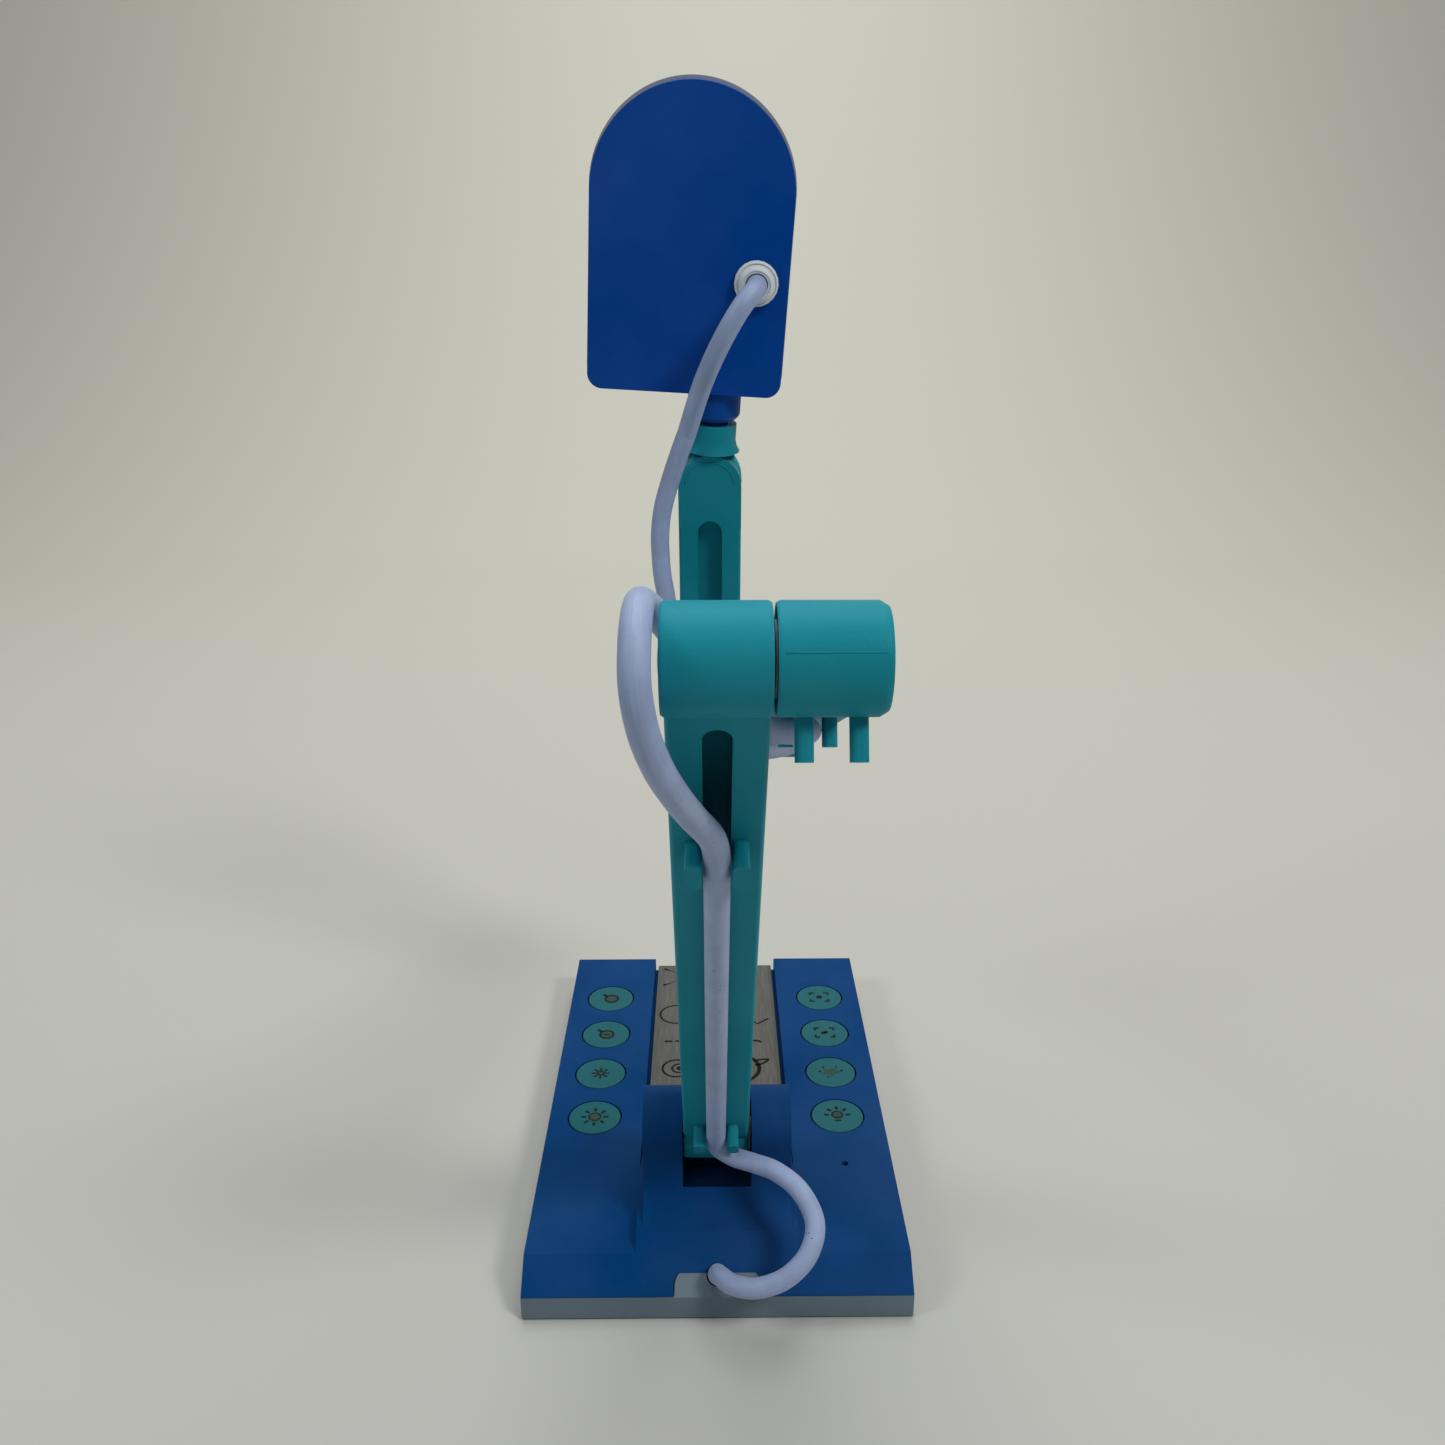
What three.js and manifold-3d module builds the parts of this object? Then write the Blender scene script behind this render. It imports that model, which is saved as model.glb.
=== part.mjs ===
// Desktop document camera on a folding three-link arm, for a child's desk.
// Millimetres. X to the right seen from behind, +Y towards the front, +Z up.
// The origin is the middle of the anti-slip pad's underside, on the table.
import * as THREE from "three";
import * as BufferGeometryUtils from "three/addons/utils/BufferGeometryUtils.js";
import Module from "manifold-3d";

const wasm = await Module();
wasm.setup();

// ---- driving dimensions -------------------------------------------------------------------------
const GAP = 0.3; // clearance between pieces that touch on the real object
const SHELL_WALL = 2; // moulded wall of the base

const base = {
  width: 100,
  length: 159.4,
  top: 13.5, // height of the cover's top face
  seam: 6.9, // height of the tray's rim
  lift: 0.5, // the tray's underside stands this far above the table
  slopeRun: 8.4, // rear slope, seam to crest
  floor: 2,
};

const pad = { width: 66, length: 118, thick: 1.1, cornerRadius: 6 };

const deck = { width: 28.2 }; // from the base's side to the channel
const channel = { panelDrop: 3.4 };
const panel = { sideGap: 1, thick: 1.6 };

const button = {
  diameter: 15.4,
  ring: 0.5, // gap round the cap
  proud: 0.1,
  flange: 1.2,
  flangeThick: 1,
  rowPitch: 22.15,
  lastRow: 28.25, // from the front edge to the row farthest from the arm
  towardsEdge: 0.55, // a column stands this far outside the middle of its deck
  rows: 4,
  travel: 0.8,
};
const keyBoard = {
  halfWidth: 9,
  underside: 4.6,
  thick: 1.2,
  matThick: 1,
  overhang: 10, // mat beyond the first and last button
  domeRadius: 4.2,
  domeTop: 2.8,
};
const mainBoard = { x0: -18, x1: 20, fromRear: 15.7, length: 30, z: 3.4 };
const ballast = { sideInset: 0.8, rearInset: 6.65, frontInset: 13.7 };
const boss = {
  radius: 3,
  shaft: 1.25,
  head: 2.3,
  headThick: 1.4,
  screwLength: 8.6,
  inset: 5.6,
  rearInset: 14,
  pilot: 4.3, // depth of the cover's screw hole above the seam
};
const microphone = { beyondPivot: 10.5, radius: 3, height: 2.4, hole: 1 };
const socket = { beyondPivot: 1.3, halfLength: 4.5, z: 5.4, height: 3.3, depth: 7.4, sheet: 0.4, tongueHalfWidth: 3 };

const tab = { halfWidth: 11, rise: 0.57, cornerRadius: 2.3 }; // rise is a share of the rear slope
const cable = { radius: 2.5, sides: 10, holeShare: 0.5 };

const pivot = { fromRear: 32.4, z: 34.5, boltRadius: 2.5, headRadius: 4.2, headThick: 2.2 };
const yoke = {
  halfWidth: 21.2,
  earHalfWidth: 19.6,
  slotHalfWidth: 9.15,
  earRadius: 10.65,
  footRise: 3.1,
  floor: 1.5,
};

const link = {
  thick: 11.6,
  width: 17,
  barrelRadius: 9.13,
  barrelWidth: 17.4,
  barrelEdge: 0.6,
  farEdge: 1.4, // rounding of the middle arm's outer ends
  grooveWidth: 5,
  grooveDepth: 10.2,
  innerFace: 8.2, // X of the face where the lower and middle arms meet
  sideGap: 0.6,
};
const lower = {
  length: 188,
  lean: 31.52,
  footRadius: 8.2,
  clips: [{ at: 13.1, height: 4.8 }, { at: 142.8, height: 7.4 }],
  grooveFrom: 12,
  grooveEnd: 10.4,
};
const middle = { length: 184.5, slope: 22.7, clips: [{ at: 1.5, reach: 16.1 }, { at: 50, reach: 11.7 }], clipHeight: 3 };
const upper = {
  length: 76.5,
  lean: 9.1,
  gap: 1.6,
  grooveWidth: 6.6,
  grooveDepth: 3.5,
  grooveEnd: 9.6,
  tangRadius: 8.5,
};
const washer = { inner: pivot.boltRadius + GAP, outer: 6.2, seat: 0.9 };
const clip = { width: 3, spacing: 8.6, reach: 11.6, cornerRadius: 1.2 };

const knuckle = { roll: 3.4, discRadius: 8.75, flare: 7.6, collarRadius: 6.3, collarTop: 16.15, bore: 4 };
const tiltScrew = { radius: 1.5, head: 3, headThick: 1.3 };
const neck = { radius: 7, from: 17.4, to: 24.9, spigot: 3.7, spigotLength: 7, tail: 8.8 };
const head = {
  width: 49.6,
  centreX: -8.2,
  bottom: 25.2,
  height: 72.1,
  cornerRadius: 3.8,
  back: -8, // local Y of the rear face
  seam: 1,
  front: 6,
  frontRim: 0.8, // the front shell stands this far proud of the rear shell
  wall: 1.8,
};
const grommet = { x: 8.5, z: 53.3, flangeRadius: 5.5, bossRadius: 4.4, neck: 3.5, length: 2.8, flangeThick: 1.4 };
const lens = { tubeRadius: 8, glassRadius: 5.4, ringInner: 10.5, ringOuter: 15.5, proud: 1.2 };
const headScrew = { radius: 1, head: 2.1, up: 14, inset: 7 };

// ---- colours ------------------------------------------------------------------------------------
function plastic(hex, roughness = 0.5) {
  return new THREE.MeshStandardMaterial({ color: hex, roughness, metalness: 0 });
}
const paint = {
  blue: plastic(0x0b4d8c),
  teal: plastic(0x1f8f9c),
  tray: plastic(0x8c97a3),
  white: plastic(0xc9ccc8),
  panel: plastic(0xa5a296),
  rubber: plastic(0x2b2d2f, 0.9),
  dome: plastic(0x4a4d50, 0.9),
  cable: plastic(0xaeb8da, 0.6),
  board: plastic(0x1d5a35, 0.6),
  glass: plastic(0x101418, 0.05),
  diffuser: plastic(0xe8e8e2, 0.4),
  steel: new THREE.MeshStandardMaterial({ color: 0x9a9ca0, roughness: 0.35, metalness: 1 }),
};

// ---- helpers ------------------------------------------------------------------------------------
const DEGREES = Math.PI / 180;

// A closed three.js geometry becomes a manifold solid.
function solid(geometry) {
  const bare = geometry.index ? geometry.toNonIndexed() : geometry.clone();
  bare.deleteAttribute("normal");
  bare.deleteAttribute("uv");
  const merged = BufferGeometryUtils.mergeVertices(bare, 1e-4);
  return new wasm.Manifold(
    new wasm.Mesh({
      numProp: 3,
      vertProperties: new Float32Array(merged.attributes.position.array),
      triVerts: new Uint32Array(merged.index.array),
    }),
  );
}

// A manifold solid becomes a geometry again.
function geometryOf(body) {
  const mesh = body.getMesh();
  const geometry = new THREE.BufferGeometry();
  geometry.setAttribute("position", new THREE.BufferAttribute(new Float32Array(mesh.vertProperties), 3));
  geometry.setIndex(new THREE.BufferAttribute(new Uint32Array(mesh.triVerts), 1));
  geometry.computeVertexNormals();
  return geometry;
}

function join(...bodies) {
  return bodies.reduce((sum, body) => sum.add(body));
}

function cut(body, ...tools) {
  return tools.reduce((rest, tool) => rest.subtract(tool), body);
}

// A box from its low corner to its high corner.
function block(x0, x1, y0, y1, z0, z1) {
  const geometry = new THREE.BoxGeometry(x1 - x0, y1 - y0, z1 - z0);
  geometry.translate((x0 + x1) / 2, (y0 + y1) / 2, (z0 + z1) / 2);
  return solid(geometry);
}

// A round bar from start to end along one of the three axes.
function bar(axis, radius, start, end, centre, sides = 20) {
  const geometry = new THREE.CylinderGeometry(radius, radius, end - start, sides);
  const middleOfBar = (start + end) / 2;
  if (axis === "x") {
    geometry.rotateZ(-Math.PI / 2);
    geometry.translate(middleOfBar, centre[0], centre[1]);
  } else if (axis === "y") {
    geometry.translate(centre[0], middleOfBar, centre[1]);
  } else {
    geometry.rotateX(Math.PI / 2);
    geometry.translate(centre[0], centre[1], middleOfBar);
  }
  return solid(geometry);
}

// A turned solid from [radius, height] pairs, along Z, moved to a centre in X and Y.
function turned(profile, centre = [0, 0], sides = 24) {
  const points = profile.map(([radius, height]) => new THREE.Vector2(radius, height));
  const geometry = new THREE.LatheGeometry(points, sides);
  geometry.rotateX(Math.PI / 2);
  geometry.translate(centre[0], centre[1], 0);
  return solid(geometry);
}

// The same turned solid with its axis along X or Y.
function turnedAlong(axis, profile, centre, sides = 24) {
  const points = profile.map(([radius, height]) => new THREE.Vector2(radius, height));
  const geometry = new THREE.LatheGeometry(points, sides);
  if (axis === "x") {
    geometry.rotateZ(-Math.PI / 2);
    geometry.translate(0, centre[0], centre[1]);
  } else {
    geometry.translate(centre[0], 0, centre[1]);
  }
  return solid(geometry);
}

// A washer or nut: a ring between two radii.
function ring(axis, inner, outer, start, end, centre, sides = 20) {
  return cut(bar(axis, outer, start, end, centre, sides), bar(axis, inner, start - 1, end + 1, centre, 16));
}

// A flat outline of [y, z] points carried along X.
function sideProfile(points, x0, x1) {
  const shape = new THREE.Shape(points.map(([y, z]) => new THREE.Vector2(y, z)));
  const geometry = new THREE.ExtrudeGeometry(shape, { depth: x1 - x0, bevelEnabled: false });
  geometry.applyMatrix4(new THREE.Matrix4().set(0, 0, 1, x0, 1, 0, 0, 0, 0, 1, 0, 0, 0, 0, 0, 1));
  return solid(geometry);
}

// A rectangle with round corners.
function roundedRectangle(x0, x1, y0, y1, radius) {
  const shape = new THREE.Shape();
  shape.moveTo(x0 + radius, y0);
  shape.lineTo(x1 - radius, y0);
  shape.absarc(x1 - radius, y0 + radius, radius, -Math.PI / 2, 0, false);
  shape.lineTo(x1, y1 - radius);
  shape.absarc(x1 - radius, y1 - radius, radius, 0, Math.PI / 2, false);
  shape.lineTo(x0 + radius, y1);
  shape.absarc(x0 + radius, y1 - radius, radius, Math.PI / 2, Math.PI, false);
  shape.lineTo(x0, y0 + radius);
  shape.absarc(x0 + radius, y0 + radius, radius, Math.PI, Math.PI * 1.5, false);
  return shape;
}

// A flat plate of any shape between two heights.
function plate(shape, z0, z1, curveSegments = 5) {
  const geometry = new THREE.ExtrudeGeometry(shape, { depth: z1 - z0, bevelEnabled: false, curveSegments });
  geometry.translate(0, 0, z0);
  return solid(geometry);
}

// A shape drawn in X and Z, carried along Y from y0 to y1.
function facePlate(shape, y0, y1, curveSegments = 16) {
  const geometry = new THREE.ExtrudeGeometry(shape, { depth: y1 - y0, bevelEnabled: false, curveSegments });
  geometry.rotateX(Math.PI / 2);
  geometry.translate(0, y1, 0);
  return solid(geometry);
}

// A tube of the cable along points, in one smooth curve.
function cableTube(points, steps) {
  const curve = new THREE.CatmullRomCurve3(points, false, "centripetal");
  const section = new THREE.Shape();
  for (let i = 0; i < cable.sides; i += 1) {
    const angle = (i / cable.sides) * 2 * Math.PI;
    const x = cable.radius * Math.cos(angle);
    const y = cable.radius * Math.sin(angle);
    if (i === 0) section.moveTo(x, y);
    else section.lineTo(x, y);
  }
  return new THREE.ExtrudeGeometry(section, { steps, extrudePath: curve, bevelEnabled: false });
}

const model = new THREE.Group();

function addMesh(group, name, shape, material) {
  const geometry = shape.isBufferGeometry ? shape : geometryOf(shape);
  const mesh = new THREE.Mesh(geometry, material);
  mesh.name = name;
  group.add(mesh);
}

// ---- base ---------------------------------------------------------------------------------------
const rear = -base.length / 2;
const front = base.length / 2;
const half = base.width / 2;
const crest = rear + base.slopeRun;
const channelHalf = half - deck.width;
const pivotY = rear + pivot.fromRear;
const firstRow = front - button.lastRow - (button.rows - 1) * button.rowPitch;
const socketY = pivotY + socket.beyondPivot;
const slopeRise = base.top - base.seam;
const slopeAngle = Math.atan2(slopeRise, base.slopeRun);
const coverUnder = base.top - SHELL_WALL; // underside of the cover's top wall
const railInner = channelHalf + SHELL_WALL; // inner face of the channel's wall
const panelTop = base.top - channel.panelDrop;
const channelFloor = panelTop - panel.thick - GAP;
const blockFront = pivotY + yoke.earRadius;
const footTop = base.top + yoke.footRise; // upper edge of the yoke's foot, in line with the rear slope
const footRear = crest + (yoke.footRise * base.slopeRun) / slopeRise;
const earRear = pivotY - yoke.earRadius;
const deckMiddle = (railInner + half - SHELL_WALL) / 2;
const buttonX = deckMiddle + button.towardsEdge;
const keyMatTop = keyBoard.underside + keyBoard.thick + GAP + keyBoard.matThick;
const buttonUnder = coverUnder - GAP - button.flangeThick;

// A point on the rear slope: share 0 at the seam, 1 at the crest.
function slopePoint(share) {
  return [rear + share * base.slopeRun, base.seam + share * slopeRise];
}

// Places of the eight buttons, row by row on the left and right.
function buttonPlaces() {
  const places = [];
  for (const [side, sign] of [["left", -1], ["right", 1]]) {
    for (let row = 0; row < button.rows; row += 1) {
      const y = firstRow + row * button.rowPitch;
      places.push({ name: `button_${side}_${row + 1}`, x: sign * buttonX, y });
    }
  }
  return places;
}

// Four screws near the corners hold the tray to the cover.
function screwPlaces() {
  const places = [];
  for (const x of [-half + boss.inset, half - boss.inset]) {
    for (const y of [rear + boss.rearInset, front - boss.inset]) places.push([x, y]);
  }
  return places;
}

// The hole that the cable leaves by, square to the rear slope.
function cableHole(radius) {
  const [y, z] = slopePoint(cable.holeShare);
  const geometry = new THREE.CylinderGeometry(radius, radius, 14, 24);
  geometry.rotateX(Math.PI / 2 + slopeAngle);
  geometry.translate(0, y, z);
  return solid(geometry);
}

// The cable tab: a wedge with round upper corners, larger all round by grow.
function tabSolid(grow) {
  const [tabY, tabZ] = slopePoint(tab.rise);
  const wedge = sideProfile(
    [
      [rear - 2 * grow, base.seam - 1],
      [tabY + grow, base.seam - 1],
      [tabY + grow, tabZ + grow],
      [rear - 2 * grow, base.seam + grow],
    ],
    -half,
    half,
  );
  const outline = roundedRectangle(
    -tab.halfWidth - grow,
    tab.halfWidth + grow,
    base.seam - 4,
    tabZ + grow,
    tab.cornerRadius + grow,
  );
  return wedge.intersect(facePlate(outline, rear - 2, tabY + 2, 5));
}

// The opening for the data socket in the side wall, between two heights.
function socketSlot(z0, z1) {
  const reach = socket.halfLength + GAP;
  return block(half - SHELL_WALL - 1, half + 1, socketY - reach, socketY + reach, z0, z1);
}

function buildTray() {
  const outer = block(-half, half, rear, front, base.lift, base.seam);
  const inside = block(
    -half + SHELL_WALL,
    half - SHELL_WALL,
    rear + SHELL_WALL,
    front - SHELL_WALL,
    base.lift + base.floor,
    base.seam + 1,
  );
  let body = join(cut(outer, inside), tabSolid(0));
  for (const [x, y] of screwPlaces()) {
    body = join(body, bar("z", boss.radius, base.lift + 1, base.seam, [x, y], 12));
  }
  for (const sign of [-1, 1]) {
    for (const y of [firstRow - 9, firstRow + (button.rows - 1) * button.rowPitch + 8.55]) {
      const centre = sign * buttonX;
      body = join(body, block(centre - 8, centre + 8, y, y + 1.6, base.lift + 1, keyBoard.underside - GAP));
    }
  }
  for (const [x, y] of screwPlaces()) {
    body = cut(
      body,
      bar("z", boss.shaft + GAP, 0, base.seam + 1, [x, y], 10),
      bar("z", boss.head + GAP, 0, base.lift + boss.headThick + GAP, [x, y], 12),
    );
  }
  const padSeat = plate(
    roundedRectangle(
      -pad.width / 2 - GAP,
      pad.width / 2 + GAP,
      -pad.length / 2 - GAP,
      pad.length / 2 + GAP,
      pad.cornerRadius + GAP,
    ),
    0,
    pad.thick + GAP,
  );
  return cut(body, padSeat, cableHole(cable.radius + GAP + 0.1), socketSlot(socket.z - GAP, base.seam + 1));
}

// Outer form of the cover, with the yoke block that carries the arm.
function coverOuter() {
  const chamfer = 1.2;
  const hull = sideProfile(
    [
      [rear, base.seam + GAP],
      [front, base.seam + GAP],
      [front, base.top - chamfer],
      [front - chamfer, base.top],
      [crest, base.top],
    ],
    -half,
    half,
  );
  // The rear of the yoke sweeps up from the slope in a hollow quarter circle.
  const sweep = earRear - footRear;
  const hollow = [];
  for (let step = 0; step <= 8; step += 1) {
    const angle = (step / 8) * (Math.PI / 2);
    hollow.push([footRear + sweep * Math.sin(angle), footTop + sweep * (1 - Math.cos(angle))]);
  }
  const footOutline = [
    [crest, base.seam + GAP],
    [blockFront, base.seam + GAP],
    [blockFront, footTop],
    [footRear, footTop],
    [crest, base.top],
  ];
  const foot = sideProfile(footOutline, -yoke.halfWidth, yoke.halfWidth);
  const crown = [];
  for (let step = 0; step <= 20; step += 1) {
    const angle = (step / 20) * Math.PI;
    crown.push([pivotY + yoke.earRadius * Math.cos(angle), pivot.z + yoke.earRadius * Math.sin(angle)]);
  }
  const yokeOutline = [[footRear, footTop - 1], [blockFront, footTop - 1], ...crown, ...hollow.reverse()];
  const yokeSolid = sideProfile(yokeOutline, -yoke.earHalfWidth, yoke.earHalfWidth);
  const slotHalf = yoke.slotHalfWidth;
  const slotFloor = base.top - 1 + yoke.floor;
  const sill = pivot.z - lower.footRadius; // the slot's front wall ends level with the link's foot
  const slot = join(
    block(-slotHalf, slotHalf, earRear - 0.4, blockFront - SHELL_WALL, slotFloor, sill + 1),
    block(-slotHalf, slotHalf, earRear - 0.4, blockFront + 1, sill, pivot.z + yoke.earRadius + 1),
  );
  return cut(join(hull, foot, yokeSolid), slot);
}

function buildCover() {
  let body = coverOuter();
  const low = base.seam - 1;
  const side = half - SHELL_WALL;
  for (const [x0, x1] of [[-side, -railInner], [railInner, side]]) {
    body = cut(body, block(x0, x1, crest + 1, front - SHELL_WALL, low, coverUnder));
  }
  const pocket = yoke.halfWidth - SHELL_WALL;
  body = cut(
    body,
    block(-channelHalf, channelHalf, blockFront, front + 1, channelFloor, base.top + 1),
    block(-pocket, pocket, crest + 1, blockFront - SHELL_WALL, low, base.top - 1),
  );
  for (const [x, y] of screwPlaces()) {
    body = join(body, bar("z", boss.radius, base.seam + GAP, coverUnder + 1, [x, y], 12));
    body = cut(body, bar("z", boss.shaft + GAP, low, base.seam + boss.pilot, [x, y], 10));
  }
  const openingRadius = button.diameter / 2 + button.ring;
  for (const place of buttonPlaces()) {
    body = cut(body, bar("z", openingRadius, coverUnder - 1, base.top + 1, [place.x, place.y], 24));
  }
  const headSeat = pivot.headRadius + GAP;
  return cut(
    body,
    tabSolid(GAP),
    cableHole(cable.radius + GAP + 0.1),
    bar("z", microphone.hole, coverUnder - 1, base.top + 1, [buttonX, pivotY + microphone.beyondPivot], 16),
    bar("x", pivot.boltRadius + GAP, -half, half, [pivotY, pivot.z]),
    bar("x", headSeat, -half, -yoke.earHalfWidth + pivot.headThick + GAP, [pivotY, pivot.z]),
    bar("x", headSeat, yoke.earHalfWidth - pivot.headThick - GAP, half, [pivotY, pivot.z]),
    socketSlot(low, socket.z + socket.height + GAP),
  );
}

// A board with its small parts on top, each [x, y, width, length, height].
function circuitBoard(x0, x1, y0, y1, z, chips) {
  const top = z + keyBoard.thick;
  let body = block(x0, x1, y0, y1, z, top);
  for (const [x, y, width, length, height] of chips) {
    const chip = block(x - width / 2, x + width / 2, y - length / 2, y + length / 2, top - 0.2, top + height);
    body = join(body, chip);
  }
  return body;
}

// The mat of soft domes under one column of buttons; each dome stops short of its button at full travel.
function buildKeyMat(centre) {
  const z = keyMatTop - keyBoard.matThick;
  const peak = buttonUnder - button.travel - 0.1;
  const y0 = firstRow - keyBoard.overhang;
  const y1 = firstRow + (button.rows - 1) * button.rowPitch + keyBoard.overhang;
  let body = block(centre - keyBoard.halfWidth, centre + keyBoard.halfWidth, y0, y1, z, keyMatTop);
  const dome = [
    [0, z + 0.5],
    [keyBoard.domeRadius, z + 0.5],
    [keyBoard.domeRadius, keyMatTop + 0.2],
    [keyBoard.domeTop, peak],
    [0, peak],
  ];
  for (let row = 0; row < button.rows; row += 1) {
    body = join(body, turned(dome, [centre, firstRow + row * button.rowPitch], 12));
  }
  return body;
}

function buildButton(place) {
  const top = base.top + button.proud;
  const under = coverUnder - GAP;
  const capRadius = button.diameter / 2;
  return turned(
    [
      [0, buttonUnder],
      [capRadius + button.flange, buttonUnder],
      [capRadius + button.flange, under],
      [capRadius, under],
      [capRadius, top],
      [0, top],
    ],
    [place.x, place.y],
  );
}

function buildBase() {
  const group = new THREE.Group();
  addMesh(group, "base_tray", buildTray(), paint.tray);
  addMesh(group, "base_cover", buildCover(), paint.blue);
  const [padX, padY] = [pad.width / 2, pad.length / 2];
  const padShape = roundedRectangle(-padX, padX, -padY, padY, pad.cornerRadius);
  addMesh(group, "anti_slip_pad", plate(padShape, 0, pad.thick), paint.rubber);
  const panelHalf = channelHalf - panel.sideGap;
  addMesh(
    group,
    "deck_panel",
    block(-panelHalf, panelHalf, blockFront + GAP, front, panelTop - panel.thick, panelTop),
    paint.panel,
  );
  const ballastFoot = base.lift + base.floor + GAP;
  const slab = block(
    -channelHalf + ballast.sideInset,
    channelHalf - ballast.sideInset,
    blockFront + ballast.rearInset,
    front - ballast.frontInset,
    ballastFoot,
    base.seam - GAP,
  );
  addMesh(group, "ballast_plate", slab, paint.steel);
  const mainStart = rear + mainBoard.fromRear;
  const mainChips = [[-6, mainStart + 14, 9, 9, 1.2], [8, mainStart + 20, 6, 6, 1], [9, mainStart + 8, 8, 4, 1.4]];
  const main = circuitBoard(mainBoard.x0, mainBoard.x1, mainStart, mainStart + mainBoard.length, mainBoard.z, mainChips);
  addMesh(group, "main_board", main, paint.board);
  const boardStart = firstRow - keyBoard.overhang - 3;
  const boardEnd = firstRow + (button.rows - 1) * button.rowPitch + keyBoard.overhang + 3;
  for (const [side, centre] of [["left", -buttonX], ["right", buttonX]]) {
    const [x0, x1] = [centre - keyBoard.halfWidth, centre + keyBoard.halfWidth];
    const board = circuitBoard(x0, x1, boardStart, boardEnd, keyBoard.underside, []);
    addMesh(group, `key_board_${side}`, board, paint.board);
    addMesh(group, `key_mat_${side}`, buildKeyMat(centre), paint.dome);
  }
  const capsuleTop = coverUnder - GAP;
  const capsulePlace = [buttonX, pivotY + microphone.beyondPivot];
  const capsule = bar("z", microphone.radius, capsuleTop - microphone.height, capsuleTop, capsulePlace, 20);
  addMesh(group, "microphone", capsule, paint.steel);
  addMesh(group, "data_socket", buildSocket(), paint.steel);
  screwPlaces().forEach(([x, y], index) => {
    addMesh(group, `base_screw_${index + 1}`, buildScrew(x, y), paint.steel);
  });
  return group;
}

// A metal receptacle, open to the outside, with a tongue inside.
function buildSocket() {
  const outer = half - GAP;
  const rearFace = outer - socket.depth;
  const [y0, y1] = [socketY - socket.halfLength, socketY + socket.halfLength];
  const [z0, z1] = [socket.z, socket.z + socket.height];
  const wall = socket.sheet;
  const shell = block(rearFace, outer, y0, y1, z0, z1);
  const mouth = block(rearFace + 1, outer + 1, y0 + wall, y1 - wall, z0 + wall, z1 - wall);
  const middleZ = (z0 + z1) / 2;
  const [t0, t1] = [socketY - socket.tongueHalfWidth, socketY + socket.tongueHalfWidth];
  const tongue = block(rearFace + 0.5, outer - 1.2, t0, t1, middleZ - 0.35, middleZ + 0.35);
  return join(cut(shell, mouth), tongue);
}

// A screw whose head sits in the tray's underside.
function buildScrew(x, y) {
  const foot = base.lift + GAP;
  return turned(
    [
      [0, foot],
      [boss.head, foot],
      [boss.head, foot + boss.headThick - GAP],
      [boss.shaft, foot + boss.headThick - GAP],
      [boss.shaft, foot + boss.screwLength],
      [0, foot + boss.screwLength],
    ],
    [x, y],
    12,
  );
}

// ---- arm ----------------------------------------------------------------------------------------
// A bolt along X with a domed head on the left, from the head's outer face to its tip.
function boltX(headFace, tip, centre) {
  const headInner = headFace + pivot.headThick;
  return turnedAlong(
    "x",
    [
      [0, headFace],
      [pivot.headRadius - 0.9, headFace],
      [pivot.headRadius, headFace + 0.9],
      [pivot.headRadius, headInner],
      [pivot.boltRadius, headInner],
      [pivot.boltRadius, tip],
      [0, tip],
    ],
    centre,
    24,
  );
}

function nutX(start, end, centre) {
  return ring("x", pivot.boltRadius + GAP, pivot.headRadius - 0.1, start, end, centre, 6);
}

// A round barrel along X with softened edges; the far one may be rounder.
function barrel(radius, x0, x1, z, edge = link.barrelEdge, farEdge = edge) {
  return turnedAlong(
    "x",
    [
      [0, x0],
      [radius - edge * 0.6, x0],
      [radius, x0 + edge],
      [radius, x1 - farEdge],
      [radius - farEdge * 0.6, x1],
      [0, x1],
    ],
    [0, z],
    32,
  );
}

// A groove with round ends, cut into the face at side * thick / 2.
function groove(width, depth, x, z0, z1, side) {
  const radius = width / 2;
  const shape = new THREE.Shape();
  shape.moveTo(x - radius, z0 + radius);
  shape.absarc(x, z0 + radius, radius, Math.PI, 2 * Math.PI, false);
  shape.absarc(x, z1 - radius, radius, 0, Math.PI, false);
  const face = (side * link.thick) / 2;
  const floor = face - side * depth;
  return facePlate(shape, Math.min(face + side, floor), Math.max(face + side, floor), 6);
}

// Two prongs that hold the cable on one face of a link.
function clipPair(x, z, height, reach, side) {
  const prongs = [];
  const root = side * (link.thick / 2 - 1);
  const tip = side * reach;
  for (const sign of [-1, 1]) {
    const centre = x + (sign * clip.spacing) / 2;
    const [x0, x1] = [centre - clip.width / 2, centre + clip.width / 2];
    const shape = roundedRectangle(x0, x1, z - height / 2, z + height / 2, clip.cornerRadius);
    prongs.push(facePlate(shape, Math.min(root, tip), Math.max(root, tip), 4));
  }
  return prongs;
}

// The beam of a link between its two ends, local Z along the link.
function beam(x0, x1, z0, z1) {
  const shape = roundedRectangle(x0, x1, -link.thick / 2, link.thick / 2, 0.9);
  return plate(shape, z0, z1, 3);
}

const lowerX = [link.innerFace - link.barrelWidth, link.innerFace];
const middleX = [link.innerFace + link.sideGap, link.innerFace + link.sideGap + link.barrelWidth];
const upperX = [middleX[0] - upper.gap - link.width, middleX[0] - upper.gap];
const upperCentre = (upperX[0] + upperX[1]) / 2;
const middleCentre = (middleX[0] + middleX[1]) / 2;
const lowerCentre = link.innerFace - link.width / 2;

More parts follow.
